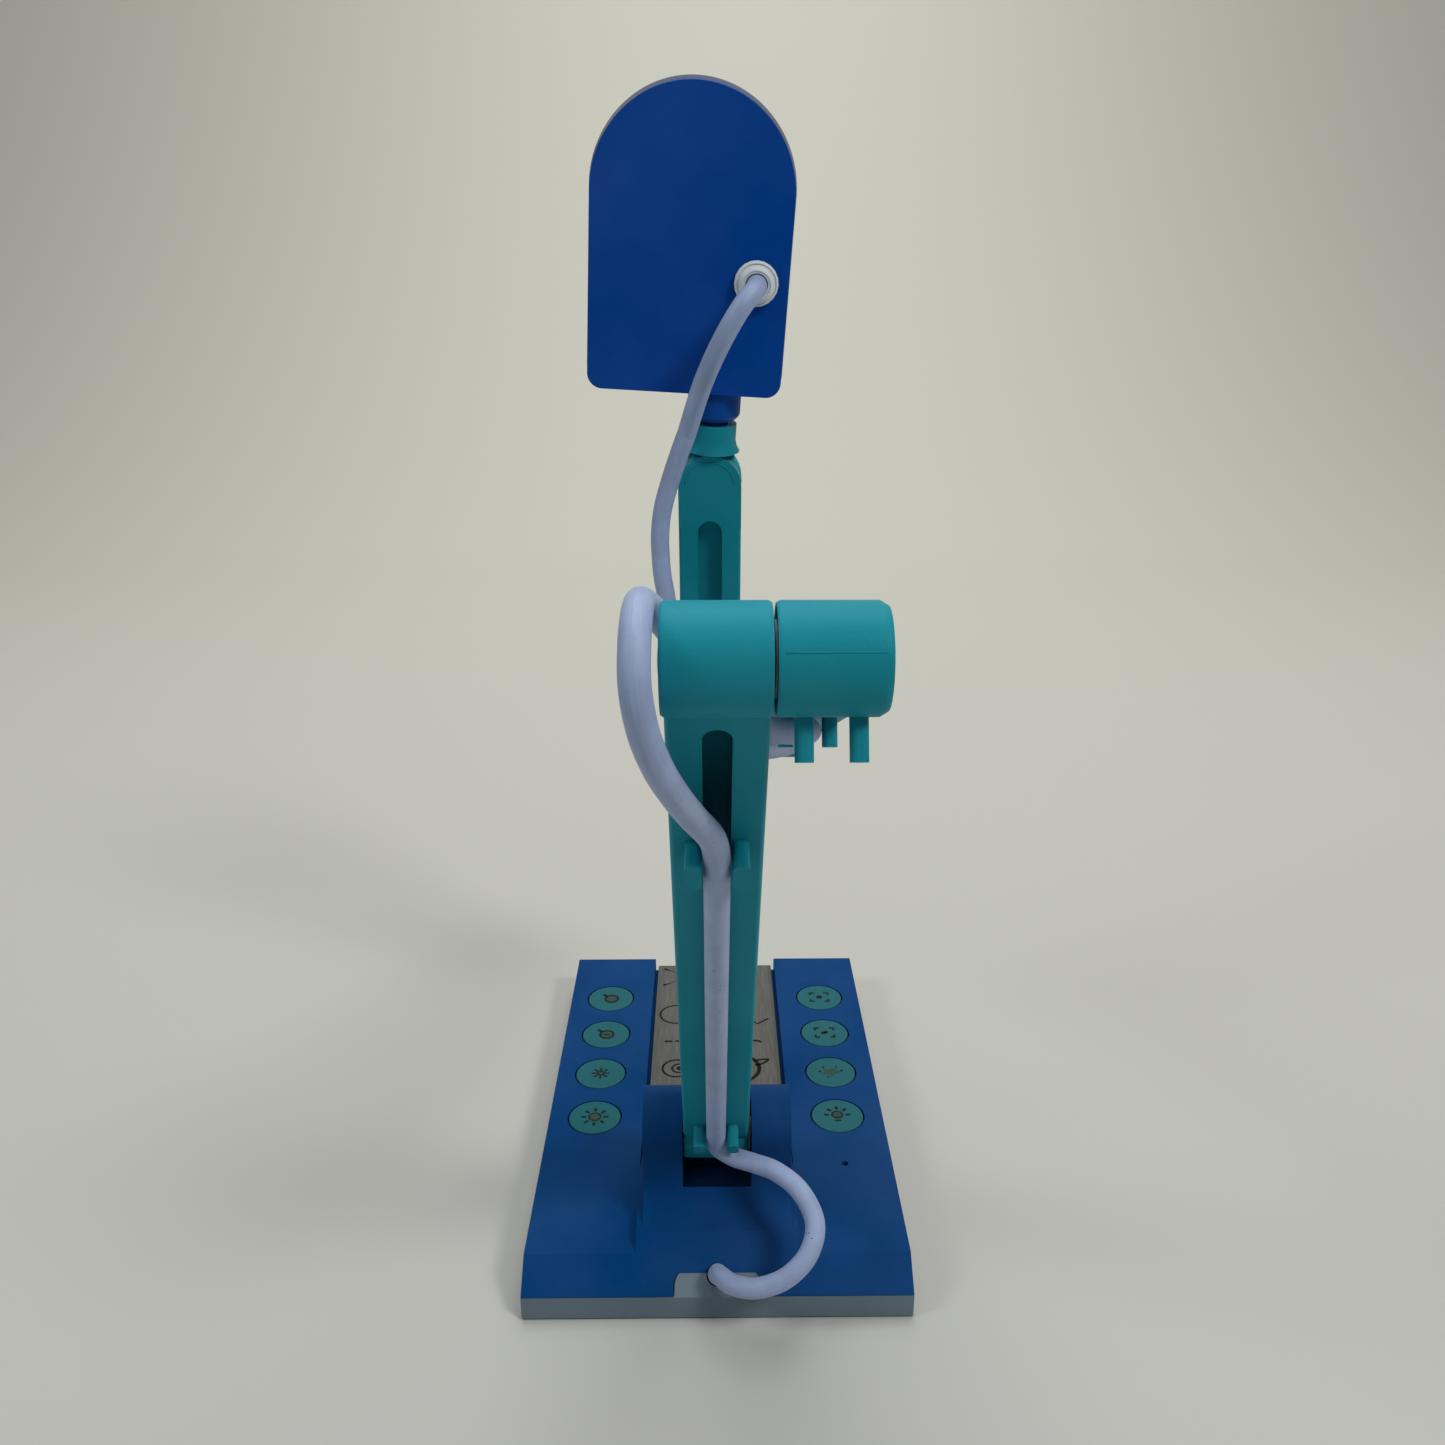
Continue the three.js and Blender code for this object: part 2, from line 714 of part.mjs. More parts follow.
function buildLowerLink() {
  const foot = barrel(lower.footRadius, link.innerFace - link.width, link.innerFace, 0);
  const top = barrel(link.barrelRadius, lowerX[0], lowerX[1], lower.length);
  let body = join(foot, top, beam(link.innerFace - link.width, link.innerFace, 0, lower.length));
  for (const { at, height } of lower.clips) body = join(body, ...clipPair(lowerCentre, at, height, clip.reach, -1));
  const seatLeft = link.innerFace - link.width;
  return cut(
    body,
    groove(link.grooveWidth, link.grooveDepth, lowerCentre, lower.grooveFrom, lower.length - lower.grooveEnd, -1),
    bar("x", pivot.boltRadius + GAP, -30, 30, [0, 0]),
    bar("x", washer.outer + GAP, seatLeft - 1, seatLeft + washer.seat, [0, 0]),
    bar("x", washer.outer + GAP, link.innerFace - washer.seat, link.innerFace + 1, [0, 0]),
    bar("x", pivot.boltRadius + GAP, -30, 30, [0, lower.length]),
    bar("x", pivot.headRadius + GAP, lowerX[0] - 1, lowerX[0] + pivot.headThick + 0.6, [0, lower.length]),
  );
}

function buildMiddleLink() {
  const near = barrel(link.barrelRadius, middleX[0], middleX[1], 0, link.barrelEdge, link.farEdge);
  const far = barrel(link.barrelRadius, middleX[0], middleX[1], middle.length, link.barrelEdge, link.farEdge);
  let body = join(near, far, beam(middleCentre - link.width / 2, middleCentre + link.width / 2, 0, middle.length));
  for (const { at, reach } of middle.clips) {
    body = join(body, ...clipPair(middleCentre, at, middle.clipHeight, reach, 1));
  }
  const nutSeat = middleX[1] - pivot.headThick - 0.6;
  const ends = [0, middle.length].flatMap((z) => [
    bar("x", pivot.boltRadius + GAP, -30, 40, [0, z]),
    bar("x", pivot.headRadius + GAP, nutSeat, middleX[1] + 1, [0, z]),
    bar("x", washer.outer + GAP, middleX[0] - 1, middleX[0] + washer.seat, [0, z]),
  ]);
  const grooveEnd = middle.length - lower.grooveEnd;
  const slot = groove(link.grooveWidth, link.grooveDepth, middleCentre, middle.length * 0.34, grooveEnd, 1);
  return cut(body, slot, ...ends);
}

// The head's carrier: its top half is a tang with a round end, for the tilt knuckle.
function buildUpperLink() {
  const foot = barrel(link.barrelRadius, upperX[0], upperX[1], 0);
  const shoulder = upper.length - knuckle.discRadius - 0.9;
  const shaft = beam(upperX[0], upperX[1], 0, shoulder);
  const tangShape = new THREE.Shape();
  tangShape.moveTo(upperCentre - upper.tangRadius, shoulder - 2);
  tangShape.lineTo(upperCentre + upper.tangRadius, shoulder - 2);
  tangShape.lineTo(upperCentre + upper.tangRadius, upper.length);
  tangShape.absarc(upperCentre, upper.length, upper.tangRadius, 0, Math.PI, false);
  const tang = facePlate(tangShape, -link.thick / 2, -GAP / 2, 14);
  const grooveTop = upper.length - upper.grooveEnd;
  return cut(
    join(foot, shaft, tang),
    groove(upper.grooveWidth, upper.grooveDepth, upperCentre, 12, grooveTop, -1),
    bar("x", pivot.boltRadius + GAP, -30, 30, [0, 0]),
    bar("x", pivot.headRadius + GAP, upperX[0] - 1, upperX[0] + pivot.headThick + 0.6, [0, 0]),
    bar("y", tiltScrew.radius + GAP, -3.4, 3, [upperCentre, upper.length], 20),
  );
}

function buildLowerArm() {
  const group = new THREE.Group();
  group.position.set(0, pivotY, pivot.z);
  group.rotation.x = lower.lean * DEGREES;
  addMesh(group, "lower_link", buildLowerLink(), paint.teal);
  const elbow = [0, lower.length];
  addMesh(group, "elbow_bolt", boltX(lowerX[0] + 0.3, middleX[1] - 0.6, elbow), paint.steel);
  return group;
}

function buildBasePivot() {
  const group = new THREE.Group();
  const centre = [pivotY, pivot.z];
  const tip = yoke.earHalfWidth - GAP;
  addMesh(group, "base_pivot_bolt", boltX(-yoke.earHalfWidth + 0.1, tip, centre), paint.steel);
  const nut = nutX(yoke.earHalfWidth - pivot.headThick, yoke.earHalfWidth - GAP, centre);
  addMesh(group, "base_pivot_nut", nut, paint.steel);
  const leftSeat = link.innerFace - link.width + washer.seat;
  const rightSeat = link.innerFace - washer.seat;
  const left = ring("x", washer.inner, washer.outer, -yoke.slotHalfWidth + GAP, leftSeat - GAP, centre);
  const right = ring("x", washer.inner, washer.outer, rightSeat + GAP, yoke.slotHalfWidth - GAP, centre);
  addMesh(group, "pivot_washer_left", left, paint.white);
  addMesh(group, "pivot_washer_right", right, paint.white);
  return group;
}

function buildMiddleArm() {
  const group = new THREE.Group();
  const leanBack = lower.lean * DEGREES;
  group.position.set(0, pivotY - lower.length * Math.sin(leanBack), pivot.z + lower.length * Math.cos(leanBack));
  group.rotation.x = -(90 + middle.slope) * DEGREES;
  addMesh(group, "middle_link", buildMiddleLink(), paint.teal);
  for (const [name, z, face] of [["elbow", 0, lowerX[1]], ["wrist", middle.length, upperX[1]]]) {
    const nutEnd = middleX[1] - 0.4;
    addMesh(group, `${name}_nut`, nutX(nutEnd - pivot.headThick + 0.3, nutEnd, [0, z]), paint.steel);
    const spacer = ring("x", washer.inner, washer.outer, face + GAP, middleX[0] + washer.seat - GAP, [0, z]);
    addMesh(group, `${name}_washer`, spacer, paint.white);
  }
  return group;
}

function buildUpperArm(wrist) {
  const group = new THREE.Group();
  group.position.copy(wrist);
  group.rotation.x = upper.lean * DEGREES;
  addMesh(group, "upper_link", buildUpperLink(), paint.teal);
  addMesh(group, "wrist_bolt", boltX(upperX[0] + 0.3, middleX[1] - 0.6, [0, 0]), paint.steel);
  return group;
}

// Where the second elbow's axis lies.
function wristPoint() {
  const leanBack = lower.lean * DEGREES;
  const down = middle.slope * DEGREES;
  return new THREE.Vector3(
    0,
    pivotY - lower.length * Math.sin(leanBack) + middle.length * Math.cos(down),
    pivot.z + lower.length * Math.cos(leanBack) - middle.length * Math.sin(down),
  );
}

// ---- head ---------------------------------------------------------------------------------------
const lensZ = head.bottom + head.height - head.width / 2; // the half circle's centre, where the lens looks out

// The head's outline: a flat foot with round corners under a half circle.
function headOutline(grow) {
  const radius = head.width / 2 + grow;
  const corner = head.cornerRadius + grow;
  const low = head.bottom - grow;
  const shape = new THREE.Shape();
  shape.moveTo(head.centreX + radius, lensZ);
  shape.absarc(head.centreX, lensZ, radius, 0, Math.PI, false);
  shape.lineTo(head.centreX - radius, low + corner);
  shape.absarc(head.centreX - radius + corner, low + corner, corner, Math.PI, Math.PI * 1.5, false);
  shape.lineTo(head.centreX + radius - corner, low);
  shape.absarc(head.centreX + radius - corner, low + corner, corner, Math.PI * 1.5, Math.PI * 2, false);
  return shape;
}

function buildRearShell() {
  const outer = facePlate(headOutline(0), head.back, head.seam, 24);
  const inner = facePlate(headOutline(-head.wall), head.back + head.wall, head.seam + 1, 24);
  const neckSeat = block(-9, 9, head.back + head.wall - 1, head.seam - 0.1, head.bottom + 0.5, head.bottom + 9);
  return cut(
    join(cut(outer, inner), neckSeat),
    bar("z", neck.spigot + GAP, head.bottom - 1, head.bottom + 8, [0, 0], 24),
    bar("y", grommet.neck + GAP, head.back - 1, head.back + head.wall + 1, [grommet.x, grommet.z], 24),
  );
}

function buildFrontShell() {
  const y0 = head.seam + GAP;
  const outer = facePlate(headOutline(head.frontRim), y0, head.front, 24);
  const inner = facePlate(headOutline(-head.wall), y0 - 1, head.front - head.wall, 24);
  let body = cut(outer, inner);
  body = cut(
    body,
    bar("y", lens.tubeRadius + GAP, y0, head.front + 1, [head.centreX, lensZ]),
    ring("y", lens.ringInner - GAP, lens.ringOuter + GAP, head.front - 1, head.front + 1, [head.centreX, lensZ], 28),
    bar("z", neck.radius + GAP, 0, neck.to + GAP, [0, 0]),
    bar("z", neck.spigot + GAP, 0, neck.to + neck.spigotLength + GAP, [0, 0]),
  );
  for (const [x, z] of headScrewPlaces()) {
    body = cut(
      body,
      bar("y", headScrew.radius + GAP, y0 - 1, head.front + 1, [x, z], 12),
      bar("y", headScrew.head + GAP, head.front - 1.2, head.front + 1, [x, z], 12),
    );
  }
  return body;
}

function headScrewPlaces() {
  const inset = head.width / 2 - headScrew.inset;
  const z = head.bottom + headScrew.up;
  return [[head.centreX - inset, z], [head.centreX + inset, z]];
}

function buildHeadScrew(x, z) {
  return turnedAlong(
    "y",
    [
      [0, -3],
      [headScrew.radius, -3],
      [headScrew.radius, head.front - 0.9],
      [headScrew.head, head.front - 0.9],
      [headScrew.head, head.front - 0.1],
      [0, head.front - 0.1],
    ],
    [x, z],
    12,
  );
}

function buildNeck() {
  return turned(
    [
      [0, neck.tail],
      [neck.spigot, neck.tail],
      [neck.spigot, neck.from],
      [neck.radius - 1.1, neck.from],
      [neck.radius, neck.from + 1.3],
      [neck.radius, neck.to],
      [neck.spigot, neck.to],
      [neck.spigot, neck.to + neck.spigotLength],
      [0, neck.to + neck.spigotLength],
    ],
  );
}

function buildKnuckle() {
  const discEdge = 0.6;
  const disc = turnedAlong(
    "y",
    [
      [0, GAP / 2],
      [knuckle.discRadius - discEdge, GAP / 2],
      [knuckle.discRadius, GAP / 2 + discEdge],
      [knuckle.discRadius, link.thick / 2 - 0.4],
      [knuckle.discRadius - 0.4, link.thick / 2],
      [0, link.thick / 2],
    ],
    [0, 0],
    28,
  );
  const collarFoot = upper.tangRadius + GAP;
  const collar = turned([
    [0, collarFoot],
    [knuckle.flare, collarFoot],
    [knuckle.collarRadius + 0.4, collarFoot + 1.4],
    [knuckle.collarRadius, collarFoot + 3],
    [knuckle.collarRadius, knuckle.collarTop],
    [0, knuckle.collarTop],
  ]);
  const stem = cut(
    bar("z", knuckle.collarRadius, 0, upper.tangRadius + 1, [0, 0], 24),
    block(-10, 10, -10, GAP / 2, -1, upper.tangRadius + 2),
  );
  return cut(
    join(disc, collar, stem),
    bar("z", knuckle.bore, neck.tail - 0.5, knuckle.collarTop + 1, [0, 0]),
    bar("y", tiltScrew.radius + GAP, -1, 8, [0, 0], 20),
    bar("y", tiltScrew.head + GAP, link.thick / 2 - tiltScrew.headThick - 0.4, 8, [0, 0]),
  );
}

// The screw that clamps the knuckle to the tang, driven from the front.
function buildTiltScrew() {
  const face = link.thick / 2 - 0.1;
  return turnedAlong(
    "y",
    [
      [0, -3],
      [tiltScrew.radius, -3],
      [tiltScrew.radius, face - tiltScrew.headThick],
      [tiltScrew.head, face - tiltScrew.headThick],
      [tiltScrew.head, face],
      [0, face],
    ],
    [0, 0],
    20,
  );
}

function buildGrommet() {
  const face = head.back - GAP;
  const mouth = face - grommet.length;
  const rim = face - grommet.flangeThick;
  const inner = head.back + head.wall + GAP;
  const hole = cable.radius + GAP;
  return turnedAlong(
    "y",
    [
      [hole, mouth],
      [grommet.bossRadius - 0.6, mouth],
      [grommet.bossRadius, mouth + 0.6],
      [grommet.bossRadius, rim],
      [grommet.flangeRadius - 0.5, rim],
      [grommet.flangeRadius, rim + 0.5],
      [grommet.flangeRadius, face],
      [grommet.neck, face],
      [grommet.neck, inner],
      [hole, inner],
      [hole, mouth],
    ],
    [grommet.x, grommet.z],
    20,
  );
}

function buildHead(wrist) {
  const upperGroup = new THREE.Group();
  upperGroup.position.copy(wrist);
  upperGroup.rotation.x = upper.lean * DEGREES;
  const group = new THREE.Group();
  group.position.set(upperCentre, 0, upper.length);
  group.rotation.y = knuckle.roll * DEGREES;
  upperGroup.add(group);
  addMesh(group, "tilt_knuckle", buildKnuckle(), paint.teal);
  addMesh(group, "tilt_screw", buildTiltScrew(), paint.steel);
  addMesh(group, "neck_post", buildNeck(), paint.blue);
  addMesh(group, "head_rear_shell", buildRearShell(), paint.blue);
  addMesh(group, "head_front_shell", buildFrontShell(), paint.white);
  addMesh(group, "head_grommet", buildGrommet(), paint.white);
  const boardY = head.seam - 2.6;
  const camera = cut(
    block(head.centreX - 17, head.centreX + 17, boardY, boardY + 1.2, head.bottom + 22, lensZ + 14),
    bar("y", 1.5, -10, 10, [head.centreX - 14, head.bottom + 25], 12),
  );
  addMesh(group, "camera_board", camera, paint.board);
  const lensTube = turnedAlong(
    "y",
    [
      [0, boardY + 1.2 + GAP],
      [lens.tubeRadius, boardY + 1.2 + GAP],
      [lens.tubeRadius, head.front + lens.proud],
      [lens.glassRadius + GAP, head.front + lens.proud],
      [lens.glassRadius + GAP, head.front - 1],
      [0, head.front - 1],
    ],
    [head.centreX, lensZ],
  );
  addMesh(group, "lens_tube", lensTube, paint.rubber);
  const lensPlace = [head.centreX, lensZ];
  const glass = bar("y", lens.glassRadius, head.front - 0.7, head.front + 0.6, lensPlace);
  addMesh(group, "lens_glass", glass, paint.glass);
  const light = ring("y", lens.ringInner, lens.ringOuter, head.front - 0.7, head.front + 0.1, lensPlace, 28);
  addMesh(group, "light_ring", light, paint.diffuser);
  headScrewPlaces().forEach(([x, z], index) => {
    addMesh(group, `head_screw_${index + 1}`, buildHeadScrew(x, z), paint.steel);
  });
  return upperGroup;
}

// ---- cable --------------------------------------------------------------------------------------
// Points of each stretch, in the object's own frame, chosen by hand along one smooth route.
const cableRoute = {
  cable_base_loop: [
    [0, -74.3, 8.7], [0, -76.2, 11.1], [0.6, -79.8, 13.8], [4, -84.6, 15.4], [9.5, -87.4, 17],
    [16.6, -87.4, 20], [22.3, -84.4, 24.6], [24.2, -79.4, 29.3], [21, -72.6, 33.4], [15, -66.2, 34.6],
    [9.4, -61.9, 33.8], [4.2, -59.4, 33.9], [0.7, -58.9, 36.1], [-0.3, -59.6, 38.2], [-0.3, -60.4, 39.6],
  ],
  cable_lower_run: [
    [-0.3, -60.6, 39.9], [-0.3, -65.2, 47.3], [-0.3, -86.1, 81.1], [-0.3, -107, 115.2], [-0.3, -122.7, 140.8],
    [-0.3, -128.1, 149.6],
  ],
  cable_elbow_loop: [
    [-0.3, -128.3, 149.9], [-0.3, -130.3, 153.2], [-1.1, -134, 158.8], [-4.4, -140.8, 166], [-7, -148.5, 173],
    [-9.4, -155, 180.2], [-11.4, -158.6, 187.6], [-12.4, -159, 194.6], [-12.5, -156, 200], [-12.4, -150.6, 202.8],
    [-12.3, -144.6, 203.2], [-12.1, -139.2, 202.2], [-10.4, -133.4, 199], [-6.8, -128.8, 193.2], [-2, -125.2, 185.8],
    [3, -121.4, 178.8], [8, -116.8, 173.4], [13.4, -111.4, 170.6], [16.9, -107.4, 169.3],
    [17.5, -105, 168.4], [17.5, -102.9, 167.5],
  ],
  cable_middle_run: [
    [17.5, -102.6, 167.4], [17.5, -97.3, 165.2], [17.4, -65.9, 152], [16.4, -38.3, 140.4], [11, -18, 131.8],
    [2.6, -4, 127], [-5.6, 3.6, 128.4], [-11.6, 7, 136], [-13.8, 7, 147], [-13.2, 4.4, 158],
    [-13.2, 2.6, 168.3], [-14.2, 3.2, 174.5],
    [-14.6, 3.8, 178.7],
  ],
  cable_upper_run: [
    [-14.6, 3.9, 179.1], [-14.8, 4.3, 184.5], [-14, 4.2, 192.3], [-10.8, 2.4, 203.3], [-7.5, 0, 212.4],
  ],
  cable_head_loop: [
    [-7.3, -0.1, 212.9], [-5.2, -3.8, 219.6], [-3.2, -8, 225.6], [-0.9, -12.2, 231.2], [1.6, -15.2, 236.4],
    [4.4, -16.6, 241.4], [7, -16.4, 245.3], [9.1, -14.4, 247.7], [10.1, -11.5, 248.6], [10.35, -8.6, 249.1],
    [10.35, -6, 249.5],
  ],
};
const cableSteps = {
  cable_base_loop: 22,
  cable_lower_run: 10,
  cable_elbow_loop: 30,
  cable_middle_run: 22,
  cable_upper_run: 6,
  cable_head_loop: 18,
};

function buildCable() {
  const group = new THREE.Group();
  for (const [name, route] of Object.entries(cableRoute)) {
    const points = route.map(([x, y, z]) => new THREE.Vector3(x, y, z));
    addMesh(group, name, cableTube(points, cableSteps[name]), paint.cable);
  }
  return group;
}

// ---- assembly -----------------------------------------------------------------------------------
const wrist = wristPoint();
model.add(buildBase());
for (const place of buttonPlaces()) addMesh(model, place.name, buildButton(place), paint.teal);
model.add(buildBasePivot(), buildLowerArm(), buildMiddleArm(), buildUpperArm(wrist), buildHead(wrist), buildCable());

export default model;
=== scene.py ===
"""Looks of a desktop document camera on a folding arm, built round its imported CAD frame.

Lengths are millimetres until a mesh is stored in metres. X is to the right seen from behind,
+Y is the side the camera faces and +Z is up. The origin is on the table under the base.
"""
import logging
import math
from abc import ABC, abstractmethod
from dataclasses import dataclass, field
from enum import Enum

import bmesh
import bpy
import numpy as np
from mathutils import Euler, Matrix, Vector


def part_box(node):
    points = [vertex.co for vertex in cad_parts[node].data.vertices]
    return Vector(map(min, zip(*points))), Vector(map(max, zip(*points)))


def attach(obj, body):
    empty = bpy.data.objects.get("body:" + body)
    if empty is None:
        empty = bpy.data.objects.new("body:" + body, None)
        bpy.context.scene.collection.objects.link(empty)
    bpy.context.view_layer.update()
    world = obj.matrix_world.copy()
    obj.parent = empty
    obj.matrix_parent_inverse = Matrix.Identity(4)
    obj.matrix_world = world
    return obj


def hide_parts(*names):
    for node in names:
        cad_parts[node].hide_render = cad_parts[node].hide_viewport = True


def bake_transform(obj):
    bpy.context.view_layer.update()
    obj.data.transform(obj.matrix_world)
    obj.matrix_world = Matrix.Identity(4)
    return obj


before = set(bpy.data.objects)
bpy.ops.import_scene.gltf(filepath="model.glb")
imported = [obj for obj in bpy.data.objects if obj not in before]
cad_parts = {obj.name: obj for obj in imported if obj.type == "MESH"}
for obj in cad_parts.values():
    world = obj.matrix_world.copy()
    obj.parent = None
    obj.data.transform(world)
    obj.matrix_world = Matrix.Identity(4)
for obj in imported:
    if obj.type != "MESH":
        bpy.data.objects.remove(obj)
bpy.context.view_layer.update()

MM = 0.001
LOG = logging.getLogger("document_camera")

Colour = tuple[float, float, float]


# ---- shader tools -------------------------------------------------------------------------------
class Tree:
    """A node tree that is written one named node at a time."""

    def __init__(self, tree: bpy.types.NodeTree) -> None:
        """Keep the tree and empty it.

        Args:
            tree: the node tree to write into.
        """
        self.tree = tree
        tree.nodes.clear()

    def add(self, kind: str, settings: dict | None = None, **sockets: object) -> bpy.types.Node:
        """Add one node.

        Args:
            kind: the node's type without its "ShaderNode" front.
            settings: attributes of the node, such as its operation.
            sockets: input values or output sockets, named as the inputs with _ for spaces.

        Returns:
            The new node.
        """
        node = self.tree.nodes.new(kind if kind.startswith("Node") else "ShaderNode" + kind)
        for name, value in (settings or {}).items():
            setattr(node, name, value)
        for name, value in sockets.items():
            self.feed(node.inputs[name.replace("_", " ")], value)
        return node

    def feed(self, socket: bpy.types.NodeSocket, value: object) -> None:
        """Set an input to a value, or link it when the value is a socket."""
        if isinstance(value, bpy.types.NodeSocket):
            self.tree.links.new(value, socket)
        else:
            socket.default_value = value

    def math(self, operation: str, *values: object) -> bpy.types.NodeSocket:
        """Add a Math node.

        Args:
            operation: the Math node's operation.
            values: its inputs in order, numbers or sockets.

        Returns:
            The result socket.
        """
        node = self.add("Math", {"operation": operation})
        for index, value in enumerate(values):
            self.feed(node.inputs[index], value)
        return node.outputs[0]

    def blend(self, factor: object, low: object, high: object, way: str = "MIX") -> bpy.types.NodeSocket:
        """Mix two colours.

        Args:
            factor: share of the second colour.
            low: the first colour, or a socket.
            high: the second colour, or a socket.
            way: blend type of the Mix node.

        Returns:
            The mixed colour.
        """
        node = self.add("Mix", {"data_type": "RGBA", "blend_type": way})
        self.feed(node.inputs[0], factor)
        self.feed(node.inputs[6], low)
        self.feed(node.inputs[7], high)
        return node.outputs[2]


def rgba(colour: Colour) -> tuple[float, float, float, float]:
    """A colour with full alpha."""
    return (*colour, 1.0)


def lighter(colour: Colour, by: float) -> Colour:
    """A colour moved towards white by a share, or towards black when the share is negative."""
    if by < 0:
        return tuple(c * (1 + by) for c in colour)
    return tuple(c + (1 - c) * by for c in colour)


def brighter(colour: Colour, by: float) -> Colour:
    """The same hue, scaled.

    Args:
        colour: the colour to change.
        by: factor on each channel.

    Returns:
        The scaled colour, each channel at most 1.
    """
    return tuple(min(1.0, channel * by) for channel in colour)


class Effect(Enum):
    """Shared surface effects, each one a shader node group."""

    GRAIN = "moulded_grain"
    MOTTLE = "soft_mottle"
    # lighter rounded edges: a painted highlight, partly edge wear
    WEAR_AND_HIGHLIGHT = "edge_wear_and_highlight"


class Effects:
    """Builds each shared effect once and places it in materials."""

    def __init__(self) -> None:
        """Build the three groups."""
        self.groups = {
            Effect.GRAIN: self.grain(),
            Effect.MOTTLE: self.mottle(),
            Effect.WEAR_AND_HIGHLIGHT: self.wear_and_highlight(),
        }

    @staticmethod
    def start(name: str, inputs: dict[str, float], outputs: list[str]) -> tuple[bpy.types.NodeTree, Tree]:
        """Begin a group with float inputs and outputs.

        Args:
            name: the group's name.
            inputs: name and default of each input.
            outputs: name of each output.

        Returns:
            The group and its writer.
        """
        group = bpy.data.node_groups.new(name, "ShaderNodeTree")
        for label, value in inputs.items():
            socket = group.interface.new_socket(label, in_out="INPUT", socket_type="NodeSocketFloat")
            socket.default_value = value
        for label in outputs:
            group.interface.new_socket(label, in_out="OUTPUT", socket_type="NodeSocketFloat")
        return group, Tree(group)

    def grain(self) -> bpy.types.NodeTree:
        """Spark-eroded mould texture: two sizes of noise with fine cells between them."""
        group, tree = self.start("moulded_grain", {"Scale": 2500.0, "Coarse": 0.35}, ["Height", "Fleck"])
        given = tree.add("NodeGroupInput")
        place = tree.add("TexCoord").outputs["Object"]
        fine = tree.add("TexNoise", Vector=place, Scale=given.outputs["Scale"], Detail=3.0, Roughness=0.6)
        slow_scale = tree.math("MULTIPLY", given.outputs["Scale"], 0.22)
        slow = tree.add("TexNoise", Vector=place, Scale=slow_scale, Detail=2.0)
        cell_scale = tree.math("MULTIPLY", given.outputs["Scale"], 0.6)
        cells = tree.add("TexVoronoi", Vector=place, Scale=cell_scale)
        sum_fine = tree.math("ADD", fine.outputs[0], tree.math("MULTIPLY", cells.outputs["Distance"], 0.5))
        height = tree.math("ADD", sum_fine, tree.math("MULTIPLY", slow.outputs[0], given.outputs["Coarse"]))
        end = tree.add("NodeGroupOutput")
        tree.feed(end.inputs["Height"], height)
        fleck = tree.add("MapRange", Value=fine.outputs[0], From_Min=0.35, From_Max=0.7)
        tree.feed(end.inputs["Fleck"], fleck.outputs[0])
        return group

    def mottle(self) -> bpy.types.NodeTree:
        """Slow uneven patches, as handling and moulding leave on plastic, with a few specks of dust."""
        group, tree = self.start("soft_mottle", {"Scale": 40.0, "Specks": 500.0}, ["Patch", "Speck"])
        given = tree.add("NodeGroupInput")
        place = tree.add("TexCoord").outputs["Object"]
        patch = tree.add("TexNoise", Vector=place, Scale=given.outputs["Scale"], Detail=5.0, Roughness=0.55)
        dots = tree.add("TexVoronoi", Vector=place, Scale=given.outputs["Specks"])
        keep = tree.add("TexNoise", Vector=place, Scale=tree.math("MULTIPLY", given.outputs["Specks"], 0.3))
        near = tree.math("LESS_THAN", dots.outputs["Distance"], 0.13)
        rare = tree.math("GREATER_THAN", keep.outputs[0], 0.64)
        end = tree.add("NodeGroupOutput")
        share = tree.add("MapRange", Value=patch.outputs[0], From_Min=0.3, From_Max=0.7)
        tree.feed(end.inputs["Patch"], share.outputs[0])
        tree.feed(end.inputs["Speck"], tree.math("MULTIPLY", near, rare))
        return group

    def wear_and_highlight(self) -> bpy.types.NodeTree:
        """Lighter rounded edges, a painted highlight that is partly edge wear: the mesh's own edge attribute,
        broken up by noise.
        """
        group, tree = self.start("edge_wear_and_highlight", {"Scale": 350.0, "Strength": 1.0}, ["Mask"])
        given = tree.add("NodeGroupInput")
        place = tree.add("TexCoord").outputs["Object"]
        edge = tree.add("Attribute", {"attribute_name": "edge"}).outputs["Fac"]
        broken = tree.add("TexNoise", Vector=place, Scale=given.outputs["Scale"], Detail=4.0, Roughness=0.65)
        shares = tree.add(
            "MapRange", Value=broken.outputs[0], From_Min=0.3, From_Max=0.62, To_Min=0.25, To_Max=1.0
        )
        worn_and_lit = tree.math("MULTIPLY", edge, shares.outputs[0])
        mask = tree.math("MULTIPLY", worn_and_lit, given.outputs["Strength"])
        end = tree.add("NodeGroupOutput")
        tree.feed(end.inputs["Mask"], mask)
        return group

    def place(self, tree: Tree, effect: Effect, **values: float) -> bpy.types.Node:
        """Put one effect into a material.

        Args:
            tree: the material's writer.
            effect: which effect.
            values: its inputs.

        Returns:
            The group node.
        """
        node = tree.add("Group", {"node_tree": self.groups[effect]})
        for name, value in values.items():
            node.inputs[name].default_value = value
        return node


def new_material(name: str) -> tuple[bpy.types.Material, Tree]:
    """Begin a material.

    Args:
        name: the material's name.

    Returns:
        The material and its writer.
    """
    material = bpy.data.materials.new(name)
    material.use_nodes = True
    return material, Tree(material.node_tree)


class Finish(ABC):
    """A material recipe: each kind writes its own surface, and the material is made round it."""

    name: str

    @abstractmethod
    def surface(self, tree: Tree, effects: Effects) -> bpy.types.Node:
        """Write the surface's nodes.

        Args:
            tree: the material's writer.
            effects: the shared effect groups.

        Returns:
            The shader node.
        """

    def build(self, effects: Effects) -> bpy.types.Material:
        """Make the material.

        Args:
            effects: the shared effect groups.

        Returns:
            The finished material.
        """
        material, tree = new_material(self.name)
        shader = self.surface(tree, effects)
        tree.add("OutputMaterial", Surface=shader.outputs[0])
        return material


